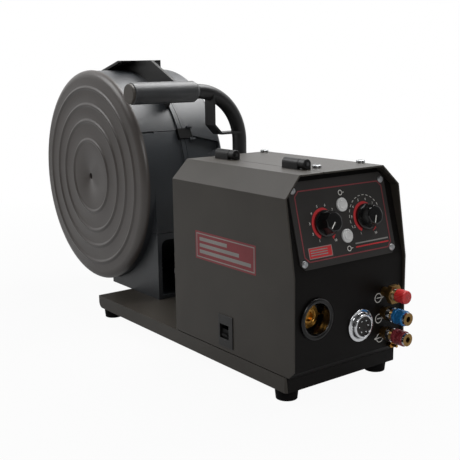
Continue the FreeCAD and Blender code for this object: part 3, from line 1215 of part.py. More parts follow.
def guide_pipe():
    x, y, z = PIPE_START
    end = -CABINET_LENGTH - MATE
    leave = V(DRUM_FRONT, y, z)
    arrive = V(INLET_REAR - PIPE_END, TORCH_Y, WIRE_Z)
    curve = Part.BSplineCurve()
    curve.interpolate(Points=[leave, (leave + arrive) / 2, arrive], InitialTangent=X, FinalTangent=X)
    path = Part.Wire([Part.LineSegment(V(x, y, z), leave).toShape(), curve.toShape(),
                      Part.LineSegment(arrive, V(end, TORCH_Y, WIRE_Z)).toShape()])

    def pipe(radius):
        profile = Part.Wire(Part.makeCircle(radius, V(x, y, z), X))
        return path.makePipeShell([profile], True, False)
    return pipe(INLET_RADIUS + PIPE_WALL).cut(pipe(INLET_RADIUS))


def rear_connectors():
    parts = []
    for y, height, radius, length in REAR_SPOTS:
        z = BASE_TOP + height
        body = rod(V(-CABINET_LENGTH - length, y, z), X, radius, length)
        body = body.cut(rod(V(-CABINET_LENGTH - length - PAD, y, z), X, radius * 0.55, length - 4))
        parts.append(join([body, rod(V(-CABINET_LENGTH, y, z), X, STEM_RADIUS, STEM_INSIDE)]))
    return Part.Compound(parts)


def build():
    nodes = {
        "base_tray": base_tray(),
        "rubber_feet": rubber_feet(),
        "top_cover": top_cover(),
        "side_door": side_door(),
        "front_panel": front_panel(),
        "rear_panel": rear_panel(),
        "inner_wall": inner_wall(),
        "control_plate": control_plate(),
        "plate_screws": plate_screws(),
        "potentiometers": potentiometers(),
        "button_housings": button_housings(),
        "circuit_board": circuit_board(),
        "hinge_knuckles": hinge_knuckles(),
        "door_knuckles": door_knuckles(),
        "hinge_pins": hinge_pins(),
        "case_bolts": case_bolts(),
        "latch_plate": latch_plate(),
        "latch_slider": latch_slider(),
        "torch_socket": torch_socket(),
        "torch_core": torch_core(),
        "control_socket": control_socket(),
        "socket_insert": socket_insert(),
        "gas_outlet": gas_outlet(),
        "gas_cap": gas_cap(),
        "water_nipples": water_nipples(),
        "blue_sleeve": sleeve(BLUE_HEIGHT),
        "red_sleeve": sleeve(RED_HEIGHT),
        "earth_stud": earth_stud(),
        "handle_tube": handle_tube(),
        "handle_grip": handle_grip(),
        "handle_plug": handle_plug(),
        "lifting_strap": lifting_strap(),
        "housing_half": housing_half(),
        "cover_shell": cover_shell(),
        "cover_disc": cover_disc(),
        "housing_hinge": housing_hinge(),
        "cover_hinge": cover_hinge(),
        "cover_latch": cover_latch(),
        "spool_axle": spool_axle(),
        "spool_hub": spool_hub(),
        "hub_lock": hub_lock(),
        "wire_spool": wire_spool(),
        "wire_winding": wire_winding(),
        "drive_plate": drive_plate(),
        "drive_motor": drive_motor(),
        "motor_gear": motor_gear(),
        "rear_drive_roll": lower_roll(ROLL_X[0]),
        "front_drive_roll": lower_roll(ROLL_X[1]),
        "rear_pressure_roll": upper_roll(ROLL_X[0]),
        "front_pressure_roll": upper_roll(ROLL_X[1]),
        "pressure_arm": pressure_arm(),
        "pressure_knob": pressure_knob(),
        "wire_guides": wire_guides(),
        "gas_valve": gas_valve(),
        "guide_pipe": guide_pipe(),
        "rear_connectors": rear_connectors(),
    }
    for (name, y, s), pointer in zip(KNOB_SPOTS, KNOB_POINTERS):
        nodes[name] = knob(y, s, pointer)
    for name, y, s in BUTTON_SPOTS:
        nodes[name] = button(y, s)
    return nodes


def offset(nodes):
    whole = Part.Compound(list(nodes.values())).optimalBoundingBox(False, False)
    return V(-(whole.XMin + whole.XMax) / 2, -(whole.YMin + whole.YMax) / 2, -whole.ZMin)


def main():
    os.makedirs("parts", exist_ok=True)
    nodes = build()
    shift = offset(nodes)
    for name, shape in nodes.items():
        moved = shape.copy()
        moved.translate(shift)
        moved.exportStep("parts/" + name + ".step")
    print(len(nodes), "nodes, shift", shift)


main()
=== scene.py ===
import math

import bmesh
import bpy
from mathutils import Matrix, Vector


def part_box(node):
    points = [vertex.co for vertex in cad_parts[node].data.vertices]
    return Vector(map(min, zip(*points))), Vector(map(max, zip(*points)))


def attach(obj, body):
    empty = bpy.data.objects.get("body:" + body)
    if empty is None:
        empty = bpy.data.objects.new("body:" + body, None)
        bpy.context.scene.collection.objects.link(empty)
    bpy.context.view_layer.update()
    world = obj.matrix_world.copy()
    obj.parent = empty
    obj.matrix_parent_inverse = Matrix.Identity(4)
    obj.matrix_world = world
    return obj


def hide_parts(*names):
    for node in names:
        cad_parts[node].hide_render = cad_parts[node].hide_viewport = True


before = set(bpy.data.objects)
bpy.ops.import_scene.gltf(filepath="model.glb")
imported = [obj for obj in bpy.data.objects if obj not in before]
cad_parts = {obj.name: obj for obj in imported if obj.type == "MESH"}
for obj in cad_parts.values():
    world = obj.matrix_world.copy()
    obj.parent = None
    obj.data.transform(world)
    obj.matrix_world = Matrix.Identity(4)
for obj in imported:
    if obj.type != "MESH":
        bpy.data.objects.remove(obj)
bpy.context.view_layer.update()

MM = 0.001
# Where the lower front panel's face, the cabinet's middle and the floor meet, in the row frame.
PANEL_FOOT = Vector((0.3385, 0.0055, 0.0))
TRAY_TOP = 33.0
PANEL_FOLD = 152.0
PANEL_LEAN = math.radians(15.0)


# ---------------------------------------------------------------- colours and nodes
def paint(code):
    """An sRGB hex colour such as 2b2a28 as linear red, green, blue and 1."""
    parts = [int(code[i:i + 2], 16) / 255 for i in (0, 2, 4)]
    return [c / 12.92 if c <= 0.04045 else ((c + 0.055) / 1.055) ** 2.4 for c in parts] + [1.0]


def node(tree, kind, sockets=None, **settings):
    """Adds a shader node. sockets maps an input's name or number to a value or to an output."""
    made = tree.nodes.new("ShaderNode" + kind)
    for name, value in settings.items():
        setattr(made, name, value)
    for name, value in (sockets or {}).items():
        if isinstance(value, bpy.types.NodeSocket):
            tree.links.new(value, made.inputs[name])
        else:
            made.inputs[name].default_value = value
    return made


def new_material(name):
    made = bpy.data.materials.new(name)
    made.use_nodes = True
    made.node_tree.nodes.clear()
    return made, made.node_tree


def surface(tree, shader):
    node(tree, "OutputMaterial", {"Surface": shader.outputs[0]})


# How far roughness wanders either side of its middle, on grained and on drawn surfaces.
GRAIN_WEAR, LINE_WEAR = 0.06, 0.07
# Drawn lines in metal, per metre across and along: 0.25 mm wide and 17 mm long.
LINES_ACROSS, LINES_ALONG = 4000.0, 60.0


def grainy(name, light, dark, grain, rough, bump=0.0, metallic=0.0, shade=60.0, gloss=0.5, coat=0.0):
    """A surface with grain of that many millimetres, whose colour drifts between two tones."""
    made, tree = new_material(name)
    spot = node(tree, "TexCoord").outputs["Object"]
    drift = node(tree, "TexNoise", {"Vector": spot, "Scale": 1000 / shade, "Detail": 2.0})
    speck = node(tree, "TexNoise", {"Vector": spot, "Scale": 1000 / grain, "Detail": 3.0})
    both = node(tree, "Math", {0: drift.outputs["Fac"], 1: speck.outputs["Fac"]}, operation="MULTIPLY")
    tone = node(tree, "ValToRGB", {"Fac": both.outputs[0]})
    tone.color_ramp.elements[0].position, tone.color_ramp.elements[1].position = 0.14, 0.38
    tone.color_ramp.elements[0].color, tone.color_ramp.elements[1].color = paint(dark), paint(light)
    wear = node(tree, "MapRange", {
        "Value": speck.outputs["Fac"], "To Min": rough - GRAIN_WEAR, "To Max": rough + GRAIN_WEAR})
    skin = node(tree, "BsdfPrincipled", {
        "Base Color": tone.outputs[0], "Roughness": wear.outputs[0], "Metallic": metallic,
        "Coat Weight": coat, "Coat Roughness": 0.12})
    if not metallic:
        skin.inputs["Specular IOR Level"].default_value = gloss
    if bump:
        dents = node(tree, "Bump", {
            "Height": speck.outputs["Fac"], "Strength": bump, "Distance": grain * MM * 0.5})
        tree.links.new(dents.outputs[0], skin.inputs["Normal"])
    surface(tree, skin)
    return made


def brushed(name, light, dark, along, rough, strength=0.25):
    """Metal with fine lines along an axis: noise stretched along it."""
    made, tree = new_material(name)
    spot = node(tree, "TexCoord").outputs["Object"]
    stretch = [LINES_ACROSS] * 3
    stretch["xyz".index(along)] = LINES_ALONG
    lay = node(tree, "Mapping", {"Vector": spot, "Scale": stretch})
    lines = node(tree, "TexNoise", {"Vector": lay.outputs[0], "Scale": 1.0, "Detail": 2.0})
    tone = node(tree, "ValToRGB", {"Fac": lines.outputs["Fac"]})
    tone.color_ramp.elements[0].color, tone.color_ramp.elements[1].color = paint(dark), paint(light)
    wear = node(tree, "MapRange", {
        "Value": lines.outputs["Fac"], "To Min": rough - LINE_WEAR, "To Max": rough + LINE_WEAR})
    dents = node(tree, "Bump", {"Height": lines.outputs["Fac"], "Strength": strength, "Distance": 0.00004})
    skin = node(tree, "BsdfPrincipled", {
        "Base Color": tone.outputs[0], "Roughness": wear.outputs[0], "Metallic": 1.0,
        "Normal": dents.outputs[0]})
    surface(tree, skin)
    return made


def knurled(name, light, dark, y, height, ribs, rough, metallic=0.0):
    """Straight ribs round an axis that runs forward, at that y and height in millimetres. Each rib's crest is
    painted lighter and its groove darker: painted highlight and painted shade.
    """
    made, tree = new_material(name)
    middle = PANEL_FOOT + Vector((0.0, y, height)) * MM
    place = node(tree, "TexCoord").outputs["Object"]
    off = node(tree, "VectorMath", {0: place, 1: tuple(middle)}, operation="SUBTRACT")
    parts = node(tree, "SeparateXYZ", {0: off.outputs[0]})
    turn = node(tree, "Math", {0: parts.outputs["Z"], 1: parts.outputs["Y"]}, operation="ARCTAN2")
    wave = node(tree, "Math", {0: node(tree, "Math", {0: turn.outputs[0], 1: float(ribs)},
                                       operation="MULTIPLY").outputs[0]}, operation="SINE")
    height_map = node(tree, "MapRange", {"Value": wave.outputs[0], "From Min": -1.0})
    # The colour follows the ribs: painted highlight on each crest and painted shade in each groove.
    tone = node(tree, "ValToRGB", {"Fac": height_map.outputs[0]})
    tone.color_ramp.elements[0].color, tone.color_ramp.elements[1].color = paint(dark), paint(light)
    dents = node(tree, "Bump", {"Height": height_map.outputs[0], "Strength": 0.7, "Distance": 0.0004})
    skin = node(tree, "BsdfPrincipled", {
        "Base Color": tone.outputs[0], "Roughness": rough, "Metallic": metallic, "Normal": dents.outputs[0]})
    surface(tree, skin)
    return made


# ---------------------------------------------------------------- materials
# Steel, powder coated: an orange-peel grain that breaks the sheen into a soft bloom. Its grain is really
# finer, and is drawn 0.9 mm wide so that it shows.
case_coat = grainy("powder_coated_steel_case", "3a3630", "322e29", 0.9, 0.45, bump=0.25, gloss=0.4)
# The lower front's coat is the case's powder coat with painted shade: darker and duller, for faces turned
# away from the lamps.
painted_shade_coat = grainy("powder_coated_steel_painted_shade", "110f0e", "0c0a09", 0.9, 0.5, bump=0.2, gloss=0.12)
frame_coat = grainy("powder_coated_steel_tube", "1a191a", "111112", 0.9, 0.4, bump=0.15, gloss=0.5)
# Polycarbonate film, printed from behind: even and slightly shiny, with hardly any grain.
overlay_film = grainy("printed_polycarbonate_film", "353332", "2f2d2c", 0.5, 0.42, bump=0.05, gloss=0.3)
# Ink, screen printed: flat and a little chalky, with edges that stand off the film.
red_ink = grainy("screen_printed_red_ink", "cf3c40", "bd3236", 0.5, 0.5, gloss=0.3)
dull_red_ink = grainy("screen_printed_dull_red_ink", "8e4347", "7c383c", 0.5, 0.5, gloss=0.3)
pale_ink = grainy("screen_printed_pale_ink", "e9e7e2", "d8d6d1", 0.5, 0.5, gloss=0.3)
grey_ink = grainy("screen_printed_grey_ink", "9b9995", "858380", 0.5, 0.5, gloss=0.3)
# ABS, moulded in a spark-eroded tool: pimples about a millimetre wide that glitter along each highlight.
drum_abs = grainy("moulded_abs_drum", "313438", "282b2e", 1.1, 0.36, bump=0.5, gloss=0.6)
disc_abs = grainy("moulded_abs_disc", "4c4744", "433e3b", 0.9, 0.37, bump=0.2, gloss=0.6)
black_abs = grainy("moulded_abs_black", "151413", "0e0d0c", 0.9, 0.38, bump=0.15, gloss=0.45)
latch_abs = grainy("moulded_abs_latch", "0a0909", "060606", 0.9, 0.5, bump=0.1, gloss=0.15)
# Phenolic, pressed in a polished tool: hard, black and glossy.
gloss_phenolic = grainy("pressed_phenolic_knob", "0b0a0b", "070707", 0.6, 0.2, gloss=0.5, coat=0.2)
satin_phenolic = grainy("pressed_phenolic_collar", "0a090a", "060606", 0.6, 0.3, gloss=0.35)
# Nylon, moulded: pale, smooth and a little waxy.
button_nylon = grainy("moulded_nylon_button", "d9d9d8", "c9c9c8", 0.6, 0.35, bump=0.05, gloss=0.5)
# Rubber, moulded: matt, with a soft grey bloom where light grazes it.
grip_rubber = grainy("moulded_rubber_grip", "232528", "17181b", 1.3, 0.45, bump=0.6, gloss=0.95)
foot_rubber = grainy("moulded_rubber_foot", "0b0a0a", "070707", 0.8, 0.75, bump=0.2, gloss=0.12)
plug_abs = grainy("moulded_abs_plug", "4c4741", "3f3b36", 1.0, 0.42, bump=0.3)
# Steel, zinc plated: pale and faintly bluish, with a fine drawn grain.
zinc_steel = brushed("zinc_plated_steel", "c9cbcc", "a6a8aa", "z", 0.28)
# Screw heads, zinc plated: bright and evenly soft, with no drawn grain.
screw_zinc = grainy("zinc_plated_screw", "dfe0e2", "cacccf", 0.6, 0.42, metallic=1.0)
# Steel, ground and oiled: darker, with lines along the shaft.
dark_steel = brushed("oiled_steel", "7b7c7e", "5c5d5f", "y", 0.35)
# Brass, chromium plated: a mirror with hardly any grain.
chrome = grainy("chromium_plated_brass", "e4e5e7", "d3d5d8", 0.8, 0.12, metallic=1.0)
# Brass, turned: a warm bloom, bright where it is new and brown where it has dulled.
brass = grainy("turned_brass", "c79a52", "a97b38", 0.7, 0.28, metallic=1.0, bump=0.05)
dull_brass = grainy("turned_brass_dulled", "9c7c4b", "7c6038", 0.7, 0.38, metallic=1.0, bump=0.05)
# Aluminium, cast and left raw: a bright grey with a coarse sand grain.
cast_alloy = grainy("sand_cast_aluminium", "b3b3b1", "949492", 1.2, 0.45, metallic=1.0, bump=0.4)
# Aluminium, anodised, with straight ribs cut round it: colour that stays bright under a metal's highlights,
# with painted highlight on the ribs' crests and painted shade in their grooves.
blue_anodised = knurled("anodised_aluminium_blue", "2588cc", "17629c", 56.5, 86.0, 36, 0.3, metallic=0.35)
red_anodised = knurled("anodised_aluminium_red", "9f323a", "742229", 56.5, 60.5, 36, 0.3, metallic=0.35)
# Polythene, moulded, with straight ribs for the fingers, with painted highlight on their crests and painted
# shade in their grooves.
red_cap = knurled("moulded_polythene_cap", "df3434", "bb2424", 56.5, 112.0, 28, 0.35)
# Steel wire, copper coated: a warm metal broken by fine bright lines.
wire_coil = brushed("copper_coated_wire", "c77f4e", "8d5230", "y", 0.3, strength=0.5)
# ABS, moulded for the parts inside: plain grey, and orange where a hand turns it.
spool_abs = grainy("moulded_abs_spool", "3a3a3c", "2e2e30", 0.9, 0.42, bump=0.15)
orange_abs = grainy("moulded_abs_orange", "b0642a", "985320", 0.9, 0.4, bump=0.1)
# Glass epoxy, pressed and lacquered: a clear green with an even shine.
board_laminate = grainy("glass_epoxy_board", "2c6a3c", "215631", 0.8, 0.4, gloss=0.5)

FINISH = {
    case_coat: ("top_cover", "side_door", "rear_panel", "inner_wall", "base_tray"),
    painted_shade_coat: ("front_panel",),
    overlay_film: ("control_plate",),
    frame_coat: ("handle_tube", "lifting_strap", "hinge_knuckles", "door_knuckles"),
    black_abs: ("housing_hinge", "cover_hinge", "latch_plate", "socket_insert", "pressure_arm", "guide_pipe"),
    latch_abs: ("cover_latch", "latch_slider"),
    gloss_phenolic: ("torch_socket", "amp_knob", "volt_knob"),
    drum_abs: ("housing_half", "cover_shell"),
    disc_abs: ("cover_disc",),
    foot_rubber: ("rubber_feet",),
    grip_rubber: ("handle_grip",),
    plug_abs: ("handle_plug",),
    zinc_steel: ("case_bolts", "potentiometers"),
    screw_zinc: ("plate_screws",),
    dark_steel: ("hinge_pins", "spool_axle", "motor_gear", "rear_drive_roll", "front_drive_roll",
                 "rear_pressure_roll", "front_pressure_roll"),
    chrome: ("control_socket",),
    brass: ("torch_core", "wire_guides", "earth_stud"),
    dull_brass: ("gas_outlet", "gas_valve", "rear_connectors", "water_nipples"),
    cast_alloy: ("drive_plate", "drive_motor"),
    blue_anodised: ("blue_sleeve",),
    red_anodised: ("red_sleeve",),
    red_cap: ("gas_cap",),
    button_nylon: ("gas_button", "inch_button", "button_housings"),
    wire_coil: ("wire_winding",),
    spool_abs: ("wire_spool", "spool_hub"),
    orange_abs: ("hub_lock", "pressure_knob"),
    board_laminate: ("circuit_board",),
}
# How far each node's edges are rounded, in millimetres. Sheet metal is folded, so it gets little.
ROUND_EDGE = {
    "base_tray": 0.3, "top_cover": 0.6, "side_door": 0.3, "front_panel": 0.5, "rear_panel": 0.5,
    "plate_screws": 0.4, "case_bolts": 0.4, "latch_plate": 0.5, "torch_socket": 0.6,
    "torch_core": 0.4, "control_socket": 0.6, "socket_insert": 0.3, "gas_outlet": 0.4, "gas_cap": 0.8,
    "water_nipples": 0.4, "blue_sleeve": 0.5, "red_sleeve": 0.5, "handle_plug": 1.0, "lifting_strap": 0.5,
    "housing_half": 1.2, "cover_shell": 1.2, "housing_hinge": 0.8, "cover_hinge": 0.8, "cover_latch": 0.8,
    "rubber_feet": 1.0, "hinge_knuckles": 0.6, "door_knuckles": 0.6, "drive_plate": 0.5, "pressure_arm": 0.8,
    "handle_grip": 1.5, "wire_spool": 0.6, "earth_stud": 0.4,
}


def dress_nodes():
    """Gives every CAD node its finish and rounds its sharp edges for the eye."""
    for finish, names in FINISH.items():
        for name in names:
            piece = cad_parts[name]
            piece.data.materials.clear()
            piece.data.materials.append(finish)
    for name, width in ROUND_EDGE.items():
        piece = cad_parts[name]
        weld = piece.modifiers.new("weld", "WELD")
        weld.merge_threshold = 0.00001
        edge = piece.modifiers.new("edge", "BEVEL")
        edge.width, edge.segments, edge.limit_method = width * MM, 2, "ANGLE"
        edge.angle_limit, edge.harden_normals, edge.use_clamp_overlap = math.radians(35), False, True
        shade = piece.modifiers.new("shade", "WEIGHTED_NORMAL")
        shade.keep_sharp, shade.weight = False, 100
        for face in piece.data.polygons:
            face.use_smooth = True


def paint_faces(name, finish, start, end):
    """Gives a second finish to the faces of a node whose middles lie between two x, in millimetres."""
    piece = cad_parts[name]
    piece.data.materials.append(finish)
    for face in piece.data.polygons:
        x = ((piece.matrix_world @ face.center).x - PANEL_FOOT.x) / MM
        if start < x < end:
            face.material_index = len(piece.data.materials) - 1


# ---------------------------------------------------------------- shapes
def spot(x, y, z):
    """Millimetres from the panel's foot as a point in the row frame."""
    return PANEL_FOOT + Vector((x, y, z)) * MM


def facing(origin, right, up):
    """A place whose own x, y and z run right, up and out of a face."""
    right, up = Vector(right).normalized(), Vector(up).normalized()
    out = right.cross(up)
    return Matrix((
        (right.x, up.x, out.x, origin.x),
        (right.y, up.y, out.y, origin.y),
        (right.z, up.z, out.z, origin.z),
        (0, 0, 0, 1)))


# The sloped plate: x to the right, y up the slope, z out of it, from the fold at the middle.
SLOPE = facing(spot(0, 0, PANEL_FOLD), (0, 1, 0), (-math.sin(PANEL_LEAN), 0, math.cos(PANEL_LEAN)))
# The lower front, the door's side and the drum's outer side, seen square on.
FRONT = facing(spot(0, 0, 0), (0, 1, 0), (0, 0, 1))
DOOR = facing(spot(0, 0, 0), (1, 0, 0), (0, 0, 1))


def piece_from(name, mesh, place, finish, body, smooth=True):
    """Puts a mesh drawn in millimetres in its place, with its finish, on its body."""
    data = bpy.data.meshes.new(name)
    mesh.normal_update()
    mesh.to_mesh(data)
    mesh.free()
    data.transform(place @ Matrix.Scale(MM, 4))
    data.materials.append(finish)
    for face in data.polygons:
        face.use_smooth = smooth
    made = bpy.data.objects.new(name, data)
    bpy.context.scene.collection.objects.link(made)
    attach(made, body)
    return made


def soften(piece, width, segments=2, angle=35):
    edge = piece.modifiers.new("edge", "BEVEL")
    edge.width, edge.segments, edge.limit_method = width * MM, segments, "ANGLE"
    edge.angle_limit = math.radians(angle)
    piece.modifiers.new("shade", "WEIGHTED_NORMAL")
    return piece


def lathe(mesh, profile, steps=72, centre=(0.0, 0.0)):
    """Turns a closed profile of (radius, height) round the z axis."""
    rings = []
    for radius, height in profile:
        if radius < 1e-6:
            rings.append([mesh.verts.new((centre[0], centre[1], height))])
        else:
            rings.append([mesh.verts.new((
                centre[0] + radius * math.cos(2 * math.pi * i / steps),
                centre[1] + radius * math.sin(2 * math.pi * i / steps), height)) for i in range(steps)])
    for low, high in zip(rings, rings[1:]):
        for i in range(steps):
            k = (i + 1) % steps
            if len(low) > 1 and len(high) > 1:
                mesh.faces.new((low[i], low[k], high[k], high[i]))
            elif len(high) > 1:
                mesh.faces.new((low[0], high[k], high[i]))
            elif len(low) > 1:
                mesh.faces.new((low[i], low[k], high[0]))
    return mesh


def slab(mesh, outline, low, high):
    """A flat shape of that outline between two heights."""
    bottom = [mesh.verts.new((x, y, low)) for x, y in outline]
    top = [mesh.verts.new((x, y, high)) for x, y in outline]
    mesh.faces.new(top)
    mesh.faces.new(bottom[::-1])
    for i in range(len(outline)):
        k = (i + 1) % len(outline)
        mesh.faces.new((bottom[i], bottom[k], top[k], top[i]))
    return mesh


def band(mesh, line, width, low, high, closed=False):
    """A flat line of that width along points, between two heights, with mitred corners."""
    count = len(line)
    left, right = [], []
    for i, (x, y) in enumerate(line):
        before = line[i - 1] if closed or i else None
        after = line[(i + 1) % count] if closed or i < count - 1 else None
        sides = []
        for a, b in ((before, (x, y)), ((x, y), after)):
            if a is not None and b is not None:
                along = Vector((b[0] - a[0], b[1] - a[1])).normalized()
                sides.append(Vector((-along.y, along.x)))
        side = sum(sides, Vector((0.0, 0.0))).normalized()
        side *= width / 2 / max(0.3, side.dot(sides[0]))
        left.append((x + side.x, y + side.y))
        right.append((x - side.x, y - side.y))
    corners = [[mesh.verts.new((*p, h)) for p in edge] for edge in (left, right) for h in (low, high)]
    low_left, high_left, low_right, high_right = corners
    for i in range(count if closed else count - 1):
        k = (i + 1) % count
        mesh.faces.new((high_right[i], high_right[k], high_left[k], high_left[i]))
        mesh.faces.new((low_left[i], low_left[k], low_right[k], low_right[i]))
        mesh.faces.new((high_left[i], high_left[k], low_left[k], low_left[i]))
        mesh.faces.new((low_right[i], low_right[k], high_right[k], high_right[i]))
    if not closed:
        for i in (0, count - 1):
            mesh.faces.new((high_left[i], low_left[i], low_right[i], high_right[i]))
    return mesh


def arc(centre, radius, start, end, steps=48):
    """Points along an arc, in degrees anticlockwise from the right."""
    return [(centre[0] + radius * math.cos(math.radians(start + (end - start) * i / steps)),
             centre[1] + radius * math.sin(math.radians(start + (end - start) * i / steps)))
            for i in range(steps + 1)]


def rectangle(left, right, foot, top):
    """The four corners of an upright rectangle, anticlockwise."""
    return [(left, foot), (right, foot), (right, top), (left, top)]


def figures(mesh, words, x, y, height, low, high):
    """Plain figures such as 10, centred on a point, as raised print."""
    letters = bpy.data.curves.new("figures", "FONT")
    letters.body, letters.size, letters.extrude = words, height * 1.35, (high - low) / 2
    letters.align_x, letters.align_y, letters.resolution_u = "CENTER", "CENTER", 2
    drawn = bpy.data.objects.new("figures", letters)
    bpy.context.scene.collection.objects.link(drawn)
    bpy.context.view_layer.update()
    flat = bpy.data.meshes.new_from_object(drawn.evaluated_get(bpy.context.evaluated_depsgraph_get()))
    flat.transform(Matrix.Translation((x, y, (low + high) / 2)))
    mesh.from_mesh(flat)
    bpy.data.objects.remove(drawn)
    bpy.data.curves.remove(letters)
    bpy.data.meshes.remove(flat)
    return mesh


dress_nodes()
# Collars and tips are chromium plated, the nuts between them are bare brass.
paint_faces("water_nipples", chrome, 11.2, 16.3)
paint_faces("water_nipples", chrome, 36.2, 39.9)
paint_faces("gas_outlet", chrome, 19.7, 23.6)
# The tray's front wall gets the same painted shade as the panel above it: the case's coat made darker and
# duller where it faces away from the lamps.
paint_faces("base_tray", painted_shade_coat, -10.6, -9.4)

# ---------------------------------------------------------------- control plate
PLATE_FACE = 1.5          # thickness of the plate
INK = 0.12                # thickness of the print
AMP_DIAL = (-31.6, 54.6)
VOLT_DIAL = (34.6, 54.8)
GAS_BUTTON = (0.0, 73.1)
INCH_BUTTON = (0.2, 36.2)
SINK = 0.02               # how far print reaches into what it lies on
FRAME_LINE = 1.3          # width of the frame line
# The red rings: their two radii and where they start and end, in degrees.
RING_OUTER, RING_INNER, RING_START, RING_FULL, RING_END = 18.6, 14.2, 241, 85, 38
# The figures: the turn of the first one, the step to the next, how far out they sit, and their height.
FIGURE_START, FIGURE_STEP, FIGURE_REACH, LAST_REACH, FIGURE_HEIGHT = 240, 33, 21.5, 25.0, 3.2
# The broken arc: its middle, radius, number of dashes, where it starts, the step and the dash in degrees.
DASH_MIDDLE, DASH_RADIUS, DASHES, DASH_START, DASH_STEP, DASH_TURN = (35.5, 55.3), 25.8, 13, 207, 14.5, 8


def plate_print():
    """All print on the control plate."""
    low, high = PLATE_FACE - SINK, PLATE_FACE + INK
    # The frame line near the plate's edge, with clipped corners.
    left, right, foot, top, clip = -68.7, 70.2, 14.4, 95.0, 6.0
    outline = [(left + clip, foot), (right - clip, foot), (right, foot + clip), (right, top - clip),
               (right - clip, top), (left + clip, top), (left, top - clip), (left, foot + clip)]
    mesh = band(bmesh.new(), outline, FRAME_LINE, low, high, closed=True)
    piece_from("plate_frame_line", mesh, SLOPE, dull_red_ink, "base", smooth=False)
    # A red ring round each dial, open at the lower right and thinner towards that end, with a tick below.
    mesh = bmesh.new()
    for middle, tick in ((AMP_DIAL, [(-22.5, 38.5), (-21.0, 35.3), (-16.5, 40.8)]),
                         (VOLT_DIAL, [(43.7, 36.4), (50.3, 39.6), (49.4, 41.6)])):
        outer = arc(middle, RING_OUTER, RING_START, RING_FULL, 40)
        for i in range(3, RING_FULL - RING_END + 1, 3):
            radius, turn = RING_OUTER - 0.05 * i, math.radians(RING_FULL - i)
            outer.append((middle[0] + radius * math.cos(turn), middle[1] + radius * math.sin(turn)))
        slab(mesh, outer + arc(middle, RING_INNER, RING_END, RING_START, 60), low, high)
        slab(mesh, tick, low, high)
    piece_from("dial_rings", mesh, SLOPE, red_ink, "base", smooth=False)
    # Plain figures 1 to 10 round each dial.
    mesh = bmesh.new()
    for middle in (AMP_DIAL, VOLT_DIAL):
        for step in range(10):
            turn = math.radians(FIGURE_START - FIGURE_STEP * step)
            reach = FIGURE_REACH if step < 9 else LAST_REACH
            figures(mesh, str(step + 1), middle[0] + reach * math.cos(turn),
                    middle[1] + reach * math.sin(turn), FIGURE_HEIGHT, low, high)
    # A broken arc outside the right dial, and plain marks by the two buttons.
    for step in range(DASHES):
        start = DASH_START - DASH_STEP * step
        band(mesh, arc(DASH_MIDDLE, DASH_RADIUS, start, start - DASH_TURN, 4), 0.6, low, high)
    for y, s in ((1.2, 87.3), (1.0, 21.1)):
        band(mesh, arc((y, s), 2.8, 0, 360)[:-1], 0.8, low, high, closed=True)
        slab(mesh, [(y + 3.8, s - 0.6), (y + 7.0, s), (y + 3.8, s + 0.6)], low, high)
    piece_from("dial_figures", mesh, SLOPE, pale_ink, "base", smooth=False)
    # A framed red field with three plain bars at the left, and two bars at the right.
    mesh = bmesh.new()
    over = high + SINK
    band(mesh, rectangle(-61.5, -26.5, 17.5, 29.5), 0.8, low, over, closed=True)
    for foot in (20.4, 23.2, 26.0):
        slab(mesh, rectangle(-59, -33, foot, foot + 1.2), low, over)
    slab(mesh, rectangle(12, 67, 24.6, 26.2), low, high)
    piece_from("plate_bars_pale", mesh, SLOPE, grey_ink, "base", smooth=False)
    mesh = bmesh.new()
    slab(mesh, rectangle(-62, -26, 17, 30), low, high)
    slab(mesh, rectangle(12, 67, 20.4, 22.0), low, high)
    piece_from("plate_bars_red", mesh, SLOPE, red_ink, "base", smooth=False)


# A knob turns this far off the plate.
KNOB_BASE = PLATE_FACE + 0.6
KNOB_FACETS = 8


def dial_knob(name, middle, pointer):
    """A pressed knob: a round skirt, eight flats that lean in, and a crowned face with a white pointer."""
    skirt = [(3.4, 0.0), (15.2, 0.0), (15.6, 0.5), (15.6, 3.2), (15.3, 3.8), (14.6, 4.1), (3.4, 4.2)]
    mesh = lathe(bmesh.new(), [(r, KNOB_BASE + h) for r, h in skirt], centre=middle)
    steps = 120
    half = math.pi / KNOB_FACETS
    rings = []
    for height, reach, roundness in (
            (4.0, 14.4, 0.0), (16.2, 12.2, 0.0), (17.2, 11.9, 0.12), (17.9, 11.3, 0.35),
            (18.2, 10.5, 0.6), (18.3, 9.4, 0.85), (18.4, 6.0, 1.0)):
        ring = []
        for i in range(steps):
            turn = 2 * math.pi * i / steps
            across = math.cos(half) / math.cos(turn % (2 * half) - half)
            radius = reach * (across * (1 - roundness) + roundness)
            angle = turn + pointer + half
            ring.append(mesh.verts.new((middle[0] + radius * math.cos(angle),
                                        middle[1] + radius * math.sin(angle), KNOB_BASE + height)))
        rings.append(ring)
    for below, above in zip(rings, rings[1:]):
        for i in range(steps):
            k = (i + 1) % steps
            mesh.faces.new((below[i], below[k], above[k], above[i]))
    mesh.faces.new(rings[-1])
    knob = piece_from(name + "_pressed", mesh, SLOPE, gloss_phenolic, name)
    knob.data.set_sharp_from_angle(angle=math.radians(25))
    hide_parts(name)
    # The pointer is inlaid in the face, from near the middle to its edge.
    mesh = bmesh.new()
    along = Vector((math.cos(pointer), math.sin(pointer)))
    side = Vector((-along.y, along.x)) * 0.6
    near, far = Vector(middle) + along * 0.5, Vector(middle) + along * 9.6
    slab(mesh, [(near - side)[:], (far - side)[:], (far + side)[:], (near + side)[:]], KNOB_BASE + 17.9,
         KNOB_BASE + 18.47)
    piece_from(name + "_pointer", mesh, SLOPE, pale_ink, name, smooth=False)


